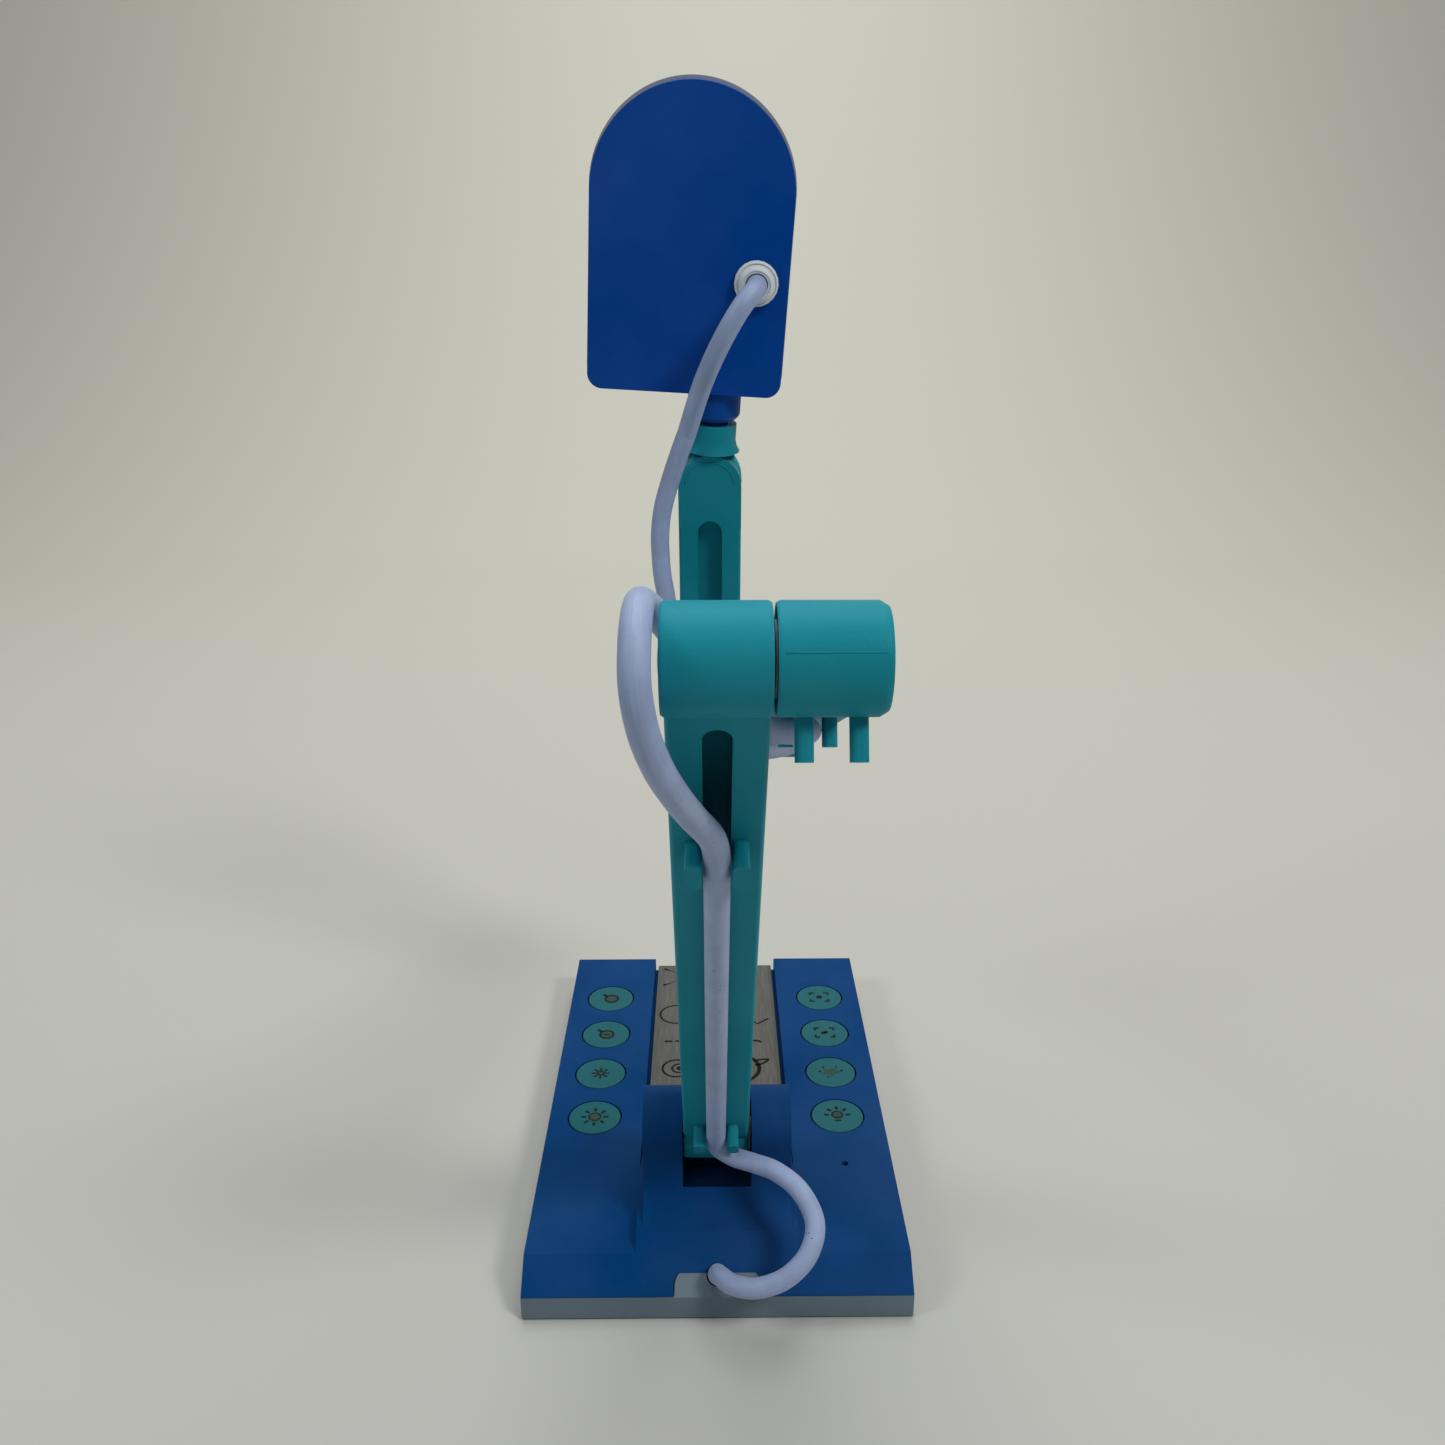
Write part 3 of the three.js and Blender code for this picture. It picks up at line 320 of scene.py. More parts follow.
@dataclass(frozen=True)
class MouldedPlastic(Finish):
    """Injection-moulded plastic with a fine mould texture and rounded edges painted lighter: a painted
    highlight, partly edge wear.
    """

    name: str
    colour: Colour
    roughness: float = 0.45
    grain_scale: float = 2600.0
    grain_depth: float = 0.00003
    mottle: float = 0.12
    # share of the painted edge highlight, partly edge wear, mixed into the colour
    edge_wear_and_light: float = 0.14
    specks: float = 0.05
    specular: float = 0.22

    def surface(self, tree: Tree, effects: Effects) -> bpy.types.Node:
        """See Finish."""
        grain = effects.place(tree, Effect.GRAIN, Scale=self.grain_scale)
        mottle = effects.place(tree, Effect.MOTTLE, Scale=28.0, Specks=900.0)
        wear_and_highlight = effects.place(tree, Effect.WEAR_AND_HIGHLIGHT)
        base = tree.blend(
            mottle.outputs["Patch"],
            rgba(lighter(self.colour, -self.mottle)),
            rgba(lighter(self.colour, self.mottle * 0.12)),
        )
        flecked = tree.blend(
            tree.math("MULTIPLY", grain.outputs["Fleck"], 0.16), base, rgba(brighter(self.colour, 1.25))
        )
        # rounded edges painted lighter: a painted highlight, partly edge wear
        worn_and_lit = tree.blend(
            tree.math("MULTIPLY", wear_and_highlight.outputs["Mask"], self.edge_wear_and_light),
            flecked,
            rgba(lighter(brighter(self.colour, 1.6), 0.12)),
        )
        dusty = tree.blend(
            tree.math("MULTIPLY", mottle.outputs["Speck"], self.specks), worn_and_lit, (0.55, 0.55, 0.52, 1.0)
        )
        smoothest, roughest = self.roughness - 0.05, self.roughness + 0.07
        rough = tree.add("MapRange", Value=mottle.outputs["Patch"], To_Min=smoothest, To_Max=roughest)
        bump = tree.add("Bump", Strength=1.0, Distance=self.grain_depth, Height=grain.outputs["Height"])
        shader = tree.add(
            "BsdfPrincipled",
            Base_Color=dusty,
            Roughness=rough.outputs[0],
            Normal=bump.outputs[0],
            Specular_IOR_Level=self.specular,
            Specular_Tint=rgba(lighter(self.colour, 0.45)),
        )
        return shader


@dataclass(frozen=True)
class Metal(Finish):
    """Plated steel with fine turned or brushed lines."""

    name: str
    colour: Colour
    roughness: float = 0.32
    line_scale: float = 3000.0

    def surface(self, tree: Tree, effects: Effects) -> bpy.types.Node:
        """See Finish."""
        place = tree.add("TexCoord").outputs["Object"]
        stretched = tree.add("Mapping", Vector=place, Scale=(1.0, 0.06, 0.06))
        lines = tree.add("TexNoise", Vector=stretched.outputs[0], Scale=self.line_scale, Detail=3.0)
        mottle = effects.place(tree, Effect.MOTTLE, Scale=120.0, Specks=900.0)
        wear_and_highlight = effects.place(tree, Effect.WEAR_AND_HIGHLIGHT)
        tint = tree.blend(mottle.outputs["Patch"], rgba(lighter(self.colour, -0.25)), rgba(self.colour))
        # rounded edges painted lighter: a painted highlight, partly edge wear
        worn_lit_metal_edges = tree.blend(wear_and_highlight.outputs["Mask"], tint, rgba(lighter(self.colour, 0.3)))
        smoothest, roughest = self.roughness - 0.08, self.roughness + 0.14
        rough = tree.add("MapRange", Value=lines.outputs[0], To_Min=smoothest, To_Max=roughest)
        bump = tree.add("Bump", Strength=0.6, Distance=0.00001, Height=lines.outputs[0])
        shader = tree.add(
            "BsdfPrincipled",
            Base_Color=worn_lit_metal_edges,
            Metallic=1.0,
            Roughness=rough.outputs[0],
            Normal=bump.outputs[0],
        )
        return shader


@dataclass(frozen=True)
class CableJacket(Finish):
    """Soft extruded jacket: fine lengthwise streaks, cloudy patches and a few dark specks."""

    name: str = "cable_jacket"
    colour: Colour = (0.34, 0.435, 0.68)
    shade: Colour = (0.285, 0.36, 0.58)

    def surface(self, tree: Tree, effects: Effects) -> bpy.types.Node:
        """See Finish. The pattern follows the jacket's own UV map in millimetres."""
        along = tree.add("UVMap", {"uv_map": "jacket"}).outputs[0]
        stretched = tree.add("Mapping", Vector=along, Scale=(0.05, 3.0, 1.0))
        streak = tree.add("TexNoise", Vector=stretched.outputs[0], Scale=1.6, Detail=4.0)
        cloud = tree.add("TexNoise", Vector=along, Scale=0.16, Detail=5.0, Roughness=0.6)
        scuff = tree.add("TexNoise", Vector=along, Scale=0.9, Detail=6.0, Roughness=0.7)
        grain = effects.place(tree, Effect.GRAIN, Scale=3600.0)
        mottle = effects.place(tree, Effect.MOTTLE, Scale=60.0, Specks=620.0)
        clouded = tree.blend(
            tree.add("MapRange", Value=cloud.outputs[0], From_Min=0.35, From_Max=0.65).outputs[0],
            rgba(self.shade),
            rgba(self.colour),
        )
        streaked = tree.blend(
            tree.add("MapRange", Value=streak.outputs[0], From_Min=0.4, From_Max=0.75, To_Max=0.3).outputs[0],
            clouded,
            rgba(lighter(self.colour, 0.25)),
        )
        scuffed = tree.blend(
            tree.add("MapRange", Value=scuff.outputs[0], From_Min=0.6, From_Max=0.75, To_Max=0.35).outputs[0],
            streaked,
            rgba(lighter(self.colour, 0.3)),
        )
        specked = tree.blend(
            tree.math("MULTIPLY", mottle.outputs["Speck"], 0.8), scuffed, (0.03, 0.03, 0.05, 1.0)
        )
        height = tree.math("ADD", streak.outputs[0], tree.math("MULTIPLY", grain.outputs["Height"], 0.5))
        bump = tree.add("Bump", Strength=1.0, Distance=0.00005, Height=height)
        rough = tree.add("MapRange", Value=cloud.outputs[0], To_Min=0.42, To_Max=0.62)
        shader = tree.add(
            "BsdfPrincipled",
            Base_Color=specked,
            Roughness=rough.outputs[0],
            Normal=bump.outputs[0],
            Sheen_Weight=0.15,
            Sheen_Roughness=0.4,
        )
        return shader


@dataclass(frozen=True)
class Ink(Finish):
    """Printing ink: a thin, slightly uneven film."""

    name: str
    colour: Colour
    roughness: float = 0.5

    def surface(self, tree: Tree, effects: Effects) -> bpy.types.Node:
        """See Finish."""
        mottle = effects.place(tree, Effect.MOTTLE, Scale=500.0, Specks=3000.0)
        tint = tree.blend(mottle.outputs["Patch"], rgba(self.colour), rgba(brighter(self.colour, 1.35)))
        roughest = self.roughness + 0.15
        rough = tree.add("MapRange", Value=mottle.outputs["Patch"], To_Min=self.roughness, To_Max=roughest)
        shader = tree.add(
            "BsdfPrincipled", Base_Color=tint, Roughness=rough.outputs[0], Specular_IOR_Level=0.08
        )
        return shader


@dataclass(frozen=True)
class PrintedPanel(Finish):
    """Matte printed sheet with a fine lengthwise tooth."""

    name: str = "panel_sheet"
    colour: Colour = (0.085, 0.085, 0.075)

    def surface(self, tree: Tree, effects: Effects) -> bpy.types.Node:
        """See Finish."""
        place = tree.add("TexCoord").outputs["Object"]
        stretched = tree.add("Mapping", Vector=place, Scale=(1.0, 0.04, 1.0))
        lines = tree.add("TexNoise", Vector=stretched.outputs[0], Scale=2400.0, Detail=3.0)
        mottle = effects.place(tree, Effect.MOTTLE, Scale=55.0, Specks=1000.0)
        wear_and_highlight = effects.place(tree, Effect.WEAR_AND_HIGHLIGHT)
        base = tree.blend(mottle.outputs["Patch"], rgba(lighter(self.colour, -0.15)), rgba(self.colour))
        lined = tree.blend(
            tree.add("MapRange", Value=lines.outputs[0], From_Min=0.4, From_Max=0.7, To_Max=0.3).outputs[0],
            base,
            rgba(lighter(self.colour, 0.15)),
        )
        # rounded edges painted lighter: a painted highlight, partly edge wear
        worn_and_lit = tree.math("MULTIPLY", wear_and_highlight.outputs["Mask"], 0.4)
        worn_lit_sheet_edges = tree.blend(worn_and_lit, lined, rgba(lighter(self.colour, 0.3)))
        bump = tree.add("Bump", Strength=0.7, Distance=0.00002, Height=lines.outputs[0])
        rough = tree.add("MapRange", Value=mottle.outputs["Patch"], To_Min=0.5, To_Max=0.66)
        shader = tree.add(
            "BsdfPrincipled", Base_Color=worn_lit_sheet_edges, Roughness=rough.outputs[0], Normal=bump.outputs[0]
        )
        return shader


@dataclass(frozen=True)
class CoatedGlass(Finish):
    """Lens glass with a faint violet coating and a trace of dust."""

    name: str = "lens_glass"
    colour: Colour = (0.6, 0.62, 0.8)

    def surface(self, tree: Tree, effects: Effects) -> bpy.types.Node:
        """See Finish."""
        mottle = effects.place(tree, Effect.MOTTLE, Scale=300.0, Specks=2500.0)
        tint = tree.blend(mottle.outputs["Patch"], rgba(lighter(self.colour, -0.2)), rgba(self.colour))
        rough = tree.add("MapRange", Value=mottle.outputs["Patch"], To_Min=0.02, To_Max=0.08)
        shader = tree.add(
            "BsdfPrincipled",
            Base_Color=tint,
            Roughness=rough.outputs[0],
            IOR=1.5,
            Transmission_Weight=0.9,
            Coat_Weight=0.8,
            Coat_Tint=(0.75, 0.6, 1.0, 1.0),
        )
        return shader


@dataclass(frozen=True)
class CircuitLacquer(Finish):
    """Green solder mask with faint copper tracks under it."""

    name: str = "circuit_lacquer"
    colour: Colour = (0.01, 0.09, 0.04)

    def surface(self, tree: Tree, effects: Effects) -> bpy.types.Node:
        """See Finish."""
        place = tree.add("TexCoord").outputs["Object"]
        tracks = tree.add("TexBrick", Vector=place, Scale=160.0, Mortar_Size=0.06)
        mottle = effects.place(tree, Effect.MOTTLE, Scale=90.0, Specks=1500.0)
        tint = tree.blend(tracks.outputs["Fac"], rgba(self.colour), rgba(lighter(self.colour, 0.06)))
        rough = tree.add("MapRange", Value=mottle.outputs["Patch"], To_Min=0.25, To_Max=0.4)
        bump = tree.add("Bump", Strength=0.5, Distance=0.00003, Height=tracks.outputs["Fac"])
        shader = tree.add(
            "BsdfPrincipled", Base_Color=tint, Roughness=rough.outputs[0], Normal=bump.outputs[0]
        )
        return shader


class Finishes:
    """Every material of the object, by the maker's name for it."""

    def __init__(self, effects: Effects) -> None:
        """Build all materials.

        Args:
            effects: the shared effect groups.
        """
        recipes = [
            # the edge values set how much lighter the rounded edges are painted: a painted highlight, partly
            # edge wear
            MouldedPlastic("base_blue", (0.0, 0.05, 0.19), roughness=0.55, edge_wear_and_light=0.4, specular=0.03),
            MouldedPlastic(
                "head_blue", (0.0, 0.066, 0.37), roughness=0.55, edge_wear_and_light=0.1, specks=0.0, specular=0.07
            ),
            MouldedPlastic("neck_blue", (0.0, 0.07, 0.34), roughness=0.4, specks=0.0, specular=0.1),
            MouldedPlastic("arm_teal", (0.006, 0.275, 0.355), roughness=0.45, edge_wear_and_light=0.2, specular=0.12),
            MouldedPlastic("key_teal", (0.012, 0.125, 0.15), roughness=0.5, edge_wear_and_light=0.15, specular=0.1),
            MouldedPlastic("tray_grey", (0.16, 0.22, 0.265), roughness=0.55, edge_wear_and_light=0.12),
            MouldedPlastic("front_grey", (0.42, 0.44, 0.46), roughness=0.5, edge_wear_and_light=0.2),
            MouldedPlastic("grommet_white", (0.82, 0.87, 0.9), roughness=0.4, edge_wear_and_light=0.1),
            MouldedPlastic("washer_nylon", (0.6, 0.6, 0.56), roughness=0.4),
            MouldedPlastic("pad_rubber", (0.03, 0.03, 0.034), roughness=0.8, grain_depth=0.00008),
            MouldedPlastic("dome_silicone", (0.11, 0.11, 0.12), roughness=0.65),
            MouldedPlastic("lens_barrel_black", (0.012, 0.012, 0.014), roughness=0.5),
            MouldedPlastic("lamp_diffuser", (0.8, 0.8, 0.76), roughness=0.35, specks=0.05),
            Metal("zinc_steel", (0.52, 0.53, 0.55)),
            Metal("dark_screw", (0.18, 0.18, 0.2), roughness=0.4),
            CableJacket(),
            Ink("drawing_ink", (0.009, 0.009, 0.008)),
            Ink("symbol_ink", (0.012, 0.013, 0.012)),
            Ink("symbol_fill", (0.032, 0.065, 0.055)),
            PrintedPanel(),
            CoatedGlass(),
            CircuitLacquer(),
        ]
        self.made = {recipe.name: recipe.build(effects) for recipe in recipes}

    def __getitem__(self, name: str) -> bpy.types.Material:
        """The material with that name."""
        return self.made[name]


# ---- mesh tools ---------------------------------------------------------------------------------
def store(
    name: str, points: np.ndarray, faces: list, material: bpy.types.Material, smooth: bool = True
) -> bpy.types.Object:
    """Store a surface in millimetres as an object in metres.

    Args:
        name: the object's name.
        points: the vertices, one row each.
        faces: corner numbers of each face.
        material: its finish.
        smooth: whether its faces are shaded smooth.

    Returns:
        The new object.
    """
    mesh = bpy.data.meshes.new(name)
    mesh.from_pydata((np.asarray(points) * MM).tolist(), [], faces)
    mesh.materials.append(material)
    mesh.polygons.foreach_set("use_smooth", np.full(len(mesh.polygons), smooth))
    mesh.update()
    obj = bpy.data.objects.new(name, mesh)
    bpy.context.scene.collection.objects.link(obj)
    return obj


def grid_faces(rows: int, columns: int) -> list:
    """Quads of a grid that closes on itself across its columns.

    Args:
        rows: number of rings.
        columns: points on each ring.

    Returns:
        The faces as lists of four vertex numbers.
    """
    row, column = np.meshgrid(np.arange(rows - 1), np.arange(columns), indexing="ij")
    here = row * columns + column
    beside = row * columns + (column + 1) % columns
    quads = np.stack([here, beside, beside + columns, here + columns], axis=-1)
    return quads.reshape(-1, 4).tolist()


def capped_faces(rows: int, columns: int) -> list:
    """Faces of a tube with flat ends.

    Args:
        rows: number of rings.
        columns: points on each ring.

    Returns:
        The faces as lists of vertex numbers, the two ends last.
    """
    first_ring = list(range(columns))
    last_ring = list(range((rows - 1) * columns, rows * columns))
    return [*grid_faces(rows, columns), first_ring[::-1], last_ring]


def outward(obj: bpy.types.Object) -> bpy.types.Object:
    """Turn a closed mesh's faces outwards."""
    bm = bmesh.new()
    bm.from_mesh(obj.data)
    bmesh.ops.recalc_face_normals(bm, faces=bm.faces)
    bm.to_mesh(obj.data)
    bm.free()
    return obj


@dataclass(frozen=True)
class Refined:
    """A CAD piece with softly rounded edges: a merged copy whose sharp edges are bevelled.

    The rounding is a circular arc between the two faces of each edge. Its faces carry the value 1
    in the attribute "edge", which the wear and highlight effect reads to paint the rounding lighter:
    a painted highlight that is partly edge wear.
    """

    node: str
    body: str
    slot: str
    finish: str
    rounding: float = 0.35
    segments: int = 2
    sharp: float = 38.0

    def build(self, finishes: Finishes) -> bpy.types.Object:
        """Make the piece and let it stand for its CAD node.

        Args:
            finishes: the object's materials.

        Returns:
            The finished piece.
        """
        bm = bmesh.new()
        bm.from_mesh(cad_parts[self.node].data)
        for layer in list(bm.loops.layers.uv.values()):
            bm.loops.layers.uv.remove(layer)
        bmesh.ops.remove_doubles(bm, verts=bm.verts, dist=2e-6)
        bmesh.ops.dissolve_limit(bm, angle_limit=math.radians(0.6), verts=bm.verts, edges=bm.edges)
        edge = bm.faces.layers.float.new("edge")
        limit = math.radians(self.sharp)
        sharp = [e for e in bm.edges if len(e.link_faces) == 2 and e.calc_face_angle(0.0) > limit]
        made = bmesh.ops.bevel(
            bm,
            geom=sharp,
            offset=self.rounding * MM,
            offset_type="OFFSET",
            segments=self.segments,
            profile=0.5,
            affect="EDGES",
            clamp_overlap=True,
            loop_slide=True,
        )
        for face in made["faces"]:
            face[edge] = 1.0
        for face in bm.faces:
            face.smooth = True
        name = self.node + "_finished"
        mesh = bpy.data.meshes.new(name)
        bm.to_mesh(mesh)
        bm.free()
        mesh.materials.clear()
        mesh.materials.append(finishes[self.finish])
        obj = bpy.data.objects.new(name, mesh)
        bpy.context.scene.collection.objects.link(obj)
        weighted = obj.modifiers.new("flat faces stay flat", "WEIGHTED_NORMAL")
        weighted.keep_sharp = True
        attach(obj, self.body)
        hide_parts(self.node)
        LOG.info("%s: %d faces", name, len(mesh.polygons))
        return obj


def spline(points: np.ndarray, per_span: int) -> np.ndarray:
    """A centripetal Catmull-Rom curve: each span is a cubic through its two ends whose knots are
    spaced by the square root of the distance between the points.

    Args:
        points: the curve's own points, one row each.
        per_span: samples in each span.

    Returns:
        Points along the curve, one row each.
    """
    before = 2 * points[0] - points[1]
    after = 2 * points[-1] - points[-2]
    p = np.vstack([before, points, after])
    p0, p1, p2, p3 = (p[i : len(p) - 3 + i][:, None, :] for i in range(4))

    def step(a: np.ndarray, b: np.ndarray) -> np.ndarray:
        """Knot distance between two points."""
        return np.sqrt(np.linalg.norm(b - a, axis=-1, keepdims=True)) + 1e-9

    t1 = step(p0, p1)
    t2 = t1 + step(p1, p2)
    t3 = t2 + step(p2, p3)
    t = t1 + (t2 - t1) * np.linspace(0, 1, per_span, endpoint=False)[None, :, None]
    a1 = (t1 - t) / t1 * p0 + t / t1 * p1
    a2 = (t2 - t) / (t2 - t1) * p1 + (t - t1) / (t2 - t1) * p2
    a3 = (t3 - t) / (t3 - t2) * p2 + (t - t2) / (t3 - t2) * p3
    b1 = (t2 - t) / t2 * a1 + t / t2 * a2
    b2 = (t3 - t) / (t3 - t1) * a2 + (t - t1) / (t3 - t1) * a3
    curve = (t2 - t) / (t2 - t1) * b1 + (t - t1) / (t2 - t1) * b2
    return np.vstack([curve.reshape(-1, 3), points[-1:]])


def carried_frames(path: np.ndarray) -> tuple[np.ndarray, np.ndarray]:
    """Two unit vectors across a path at each point, carried along it without twist.

    Each step reflects the last vector twice, first in the plane half way to the next point and
    then so that the directions agree.

    Args:
        path: points along the centreline.

    Returns:
        The side and top vectors at each point.
    """
    along = np.gradient(path, axis=0)
    along /= np.linalg.norm(along, axis=1, keepdims=True)
    side = np.cross(along[0], [0.3, 0.5, 0.8])
    side /= np.linalg.norm(side)
    sides = [side]
    for i in range(len(path) - 1):
        chord = path[i + 1] - path[i]
        size = chord @ chord
        turned_side = side - 2 / size * (chord @ side) * chord
        turned_along = along[i] - 2 / size * (chord @ along[i]) * chord
        gap = along[i + 1] - turned_along
        weight = gap @ gap
        side = turned_side - (2 / weight * (gap @ turned_side) * gap if weight > 1e-12 else 0)
        sides.append(side)
    sides = np.array(sides)
    return sides, np.cross(along, sides)


def round_tube(path: np.ndarray, side: np.ndarray, top: np.ndarray, radius: float, sides: int) -> np.ndarray:
    """A circle carried along a path.

    Args:
        path: the centreline.
        side: unit vectors across it.
        top: unit vectors square to both.
        radius: the circle's radius.
        sides: points on the circle.

    Returns:
        The points, one row of the array for each place on the path.
    """
    angle = np.linspace(0, 2 * np.pi, sides, endpoint=False)[None, :, None]
    across = side[:, None, :] * np.cos(angle) + top[:, None, :] * np.sin(angle)
    return path[:, None, :] + radius * across


@dataclass(frozen=True)
class Stretch:
    """One stretch of the cable, with the bodies it lies on."""

    node: str
    bodies: tuple[str, ...]
    points: tuple[tuple[float, float, float], ...]
    bend_from: tuple[float, float, float] | None = None
    bend_to: tuple[float, float, float] | None = None


@dataclass
class Cable:
    """The one cable from the base to the head, as six stretches of a single smooth curve."""

    diameter: float = 5.0
    sides: int = 28
    per_span: int = 14
    stretches: tuple[Stretch, ...] = (
        Stretch(
            "cable_base_loop",
            ("base", "lower_arm"),
            (
                (0, -74.3, 8.7), (0, -76.2, 11.1), (0.6, -79.8, 13.8), (4, -84.6, 15.4), (9.5, -87.4, 17),
                (16.6, -87.4, 20), (22.3, -84.4, 24.6), (24.2, -79.4, 29.3), (21, -72.6, 33.4),
                (15, -66.2, 34.6),
                (9.4, -61.9, 33.8), (4.2, -59.4, 33.9), (0.7, -58.9, 36.1), (-0.3, -59.6, 38.2),
                (-0.3, -60.4, 39.6),
            ),
            (0, -76, 11),
            (-0.3, -59.6, 38.2),
        ),
        Stretch(
            "cable_lower_run",
            ("lower_arm",),
            (
                (-0.3, -60.6, 39.9), (-0.3, -65.2, 47.3), (-0.3, -86.1, 81.1), (-0.3, -107, 115.2),
                (-0.3, -122.7, 140.8), (-0.3, -128.1, 149.6),
            ),
        ),
        Stretch(
            "cable_elbow_loop",
            ("lower_arm", "middle_arm"),
            (
                (-0.3, -128.3, 149.9), (-0.3, -130.3, 153.2), (-1.1, -134, 158.8), (-4.4, -140.8, 166),
                (-7, -148.5, 173), (-9.4, -155, 180.2), (-11.4, -158.6, 187.6), (-12.4, -159, 194.6),
                (-12.5, -156, 200), (-12.4, -150.6, 202.8), (-12.3, -144.6, 203.2), (-12.1, -139.2, 202.2),
                (-10.4, -133.4, 199), (-6.8, -128.8, 193.2), (-2, -125.2, 185.8), (3, -121.4, 178.8),
                (8, -116.8, 173.4), (13.4, -111.4, 170.6), (16.9, -107.4, 169.3), (17.5, -105, 168.4),
                (17.5, -102.9, 167.5),
            ),
            (-0.3, -128.3, 149.9),
            (17.5, -104, 168),
        ),
        Stretch(
            "cable_middle_run",
            ("middle_arm", "upper_arm"),
            (
                (17.5, -102.6, 167.4), (17.5, -97.3, 165.2), (17.4, -65.9, 152), (16.4, -38.3, 140.4),
                (11, -18, 131.8), (2.6, -4, 127), (-5.6, 3.6, 128.4), (-11.6, 7, 136), (-13.8, 7, 147),
                (-13.2, 4.4, 158), (-13.2, 2.6, 168.3), (-14.2, 3.2, 174.5), (-14.6, 3.8, 178.7),
            ),
            (11, -18, 131.8),
            (-13.2, 4.4, 158),
        ),
        Stretch(
            "cable_upper_run",
            ("upper_arm", "knuckle"),
            (
                (-14.6, 3.9, 179.1), (-14.8, 4.3, 184.5), (-14, 4.2, 192.3), (-10.8, 2.4, 203.3),
                (-7.5, 0, 212.4),
            ),
            (-14.6, 3.9, 179.1),
            (-7.5, 0, 212.4),
        ),
        Stretch(
            "cable_head_loop",
            ("knuckle", "head"),
            (
                (-7.3, -0.1, 212.9), (-5.2, -3.8, 219.6), (-3.2, -8, 225.6), (-0.9, -12.2, 231.2),
                (1.6, -15.2, 236.4), (4.4, -16.6, 241.4), (7, -16.4, 245.3), (9.1, -14.4, 247.7),
                (10.1, -11.5, 248.6), (10.35, -8.6, 249.1), (10.35, -6, 249.5),
            ),
            (-7.3, -0.1, 212.9),
            (9.1, -14.4, 247.7),
        ),
    )

    def build(self, finishes: Finishes) -> None:
        """Args:
            finishes: the object's materials.
        """
        counts = [len(s.points) for s in self.stretches]
        route = spline(np.array([p for s in self.stretches for p in s.points], float), self.per_span)
        sides, tops = carried_frames(route)
        lengths = np.concatenate([[0], np.cumsum(np.linalg.norm(np.diff(route, axis=0), axis=1))])
        start = 0
        for stretch, count, last in zip(self.stretches, counts, np.cumsum(counts) - 1):
            stop = int(last) * self.per_span
            if stretch is not self.stretches[-1]:
                stop += self.per_span // 2
            rings = slice(start, stop + 1)
            self.tube(stretch, route[rings], sides[rings], tops[rings], lengths[rings], finishes)
            start = stop

    def tube(
        self,
        stretch: Stretch,
        path: np.ndarray,
        side: np.ndarray,
        top: np.ndarray,
        along: np.ndarray,
        finishes: Finishes,
    ) -> None:
        """One stretch: a circle of the jacket's radius carried along the path, with flat ends.

        Args:
            stretch: which stretch.
            path: its centreline.
            side: unit vectors across it.
            top: unit vectors square to both.
            along: distance from the cable's start at each point.
            finishes: the object's materials.
        """
        radius = self.diameter / 2
        ring = round_tube(path, side, top, radius, self.sides)
        faces = capped_faces(len(path), self.sides)
        obj = store(stretch.node + "_jacket", ring.reshape(-1, 3), faces, finishes["cable_jacket"])
        layer = obj.data.uv_layers.new(name="jacket")
        corners = np.zeros(len(obj.data.loops), int)
        obj.data.loops.foreach_get("vertex_index", corners)
        row, column = corners // self.sides, corners % self.sides
        girth = np.abs(column - self.sides / 2) / self.sides * 2 * np.pi * radius
        layer.data.foreach_set("uv", np.stack([along[row], girth], axis=1).astype(np.float32).ravel())
        outward(obj)
        if len(stretch.bodies) == 1:
            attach(obj, stretch.bodies[0])
        else:
            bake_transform(obj)
        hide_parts(stretch.node)
        LOG.info("%s: %.1f mm", obj.name, along[-1] - along[0])


# ---- raised lines -------------------------------------------------------------------------------
@dataclass(frozen=True)
class RaisedLine:
    """A thin moulded line standing out of a surface: a round section carried along a path."""

    name: str
    path: np.ndarray
    radius: float
    body: str
    slot: str
    finish: str
    closed: bool = False
    sides: int = 8

    def build(self, finishes: Finishes) -> bpy.types.Object:
        """Make the line.

        Args:
            finishes: the object's materials.

        Returns:
            The finished line.
        """
        path = np.vstack([self.path, self.path[:1]]) if self.closed else self.path
        side, top = carried_frames(path)
        ring = round_tube(path, side, top, self.radius, self.sides)
        if self.closed:
            ring = ring[:-1]
            corners = ring.shape[0] * self.sides
            faces = [[index % corners for index in face] for face in grid_faces(len(path), self.sides)]
        else:
            faces = capped_faces(len(path), self.sides)
        obj = store(self.name, ring.reshape(-1, 3), faces, finishes[self.finish])
        outward(obj)
        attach(obj, self.body)
        LOG.info("%s: %d points", self.name, len(self.path))
        return obj


@dataclass(frozen=True)
class UpperLinkFrame:
    """The upper link's own frame: it stands on the second elbow's axis and leans by a few degrees."""

    axis_y: float = 24.63
    axis_z: float = 123.56
    lean: float = 9.1

    def arc(
        self, centre: tuple[float, float, float], radius: float, start: float, stop: float, count: int
    ) -> np.ndarray:
        """Points of an arc that lies in the frame's own XZ plane.

        Args:
            centre: its centre in the link's frame.
            radius: its radius.
            start: first angle in degrees.
            stop: last angle in degrees, left out when the arc is a whole turn.
            count: how many points.

        Returns:
            The points in the object's frame.
        """
        angle = np.radians(np.linspace(start, stop, count, endpoint=stop - start < 360))
        x, y, z = centre
        across = x + radius * np.cos(angle)
        up = z + radius * np.sin(angle)
        lean = math.radians(self.lean)
        return np.column_stack([
            across,
            self.axis_y + y * math.cos(lean) - up * math.sin(lean),
            self.axis_z + y * math.sin(lean) + up * math.cos(lean),
        ])


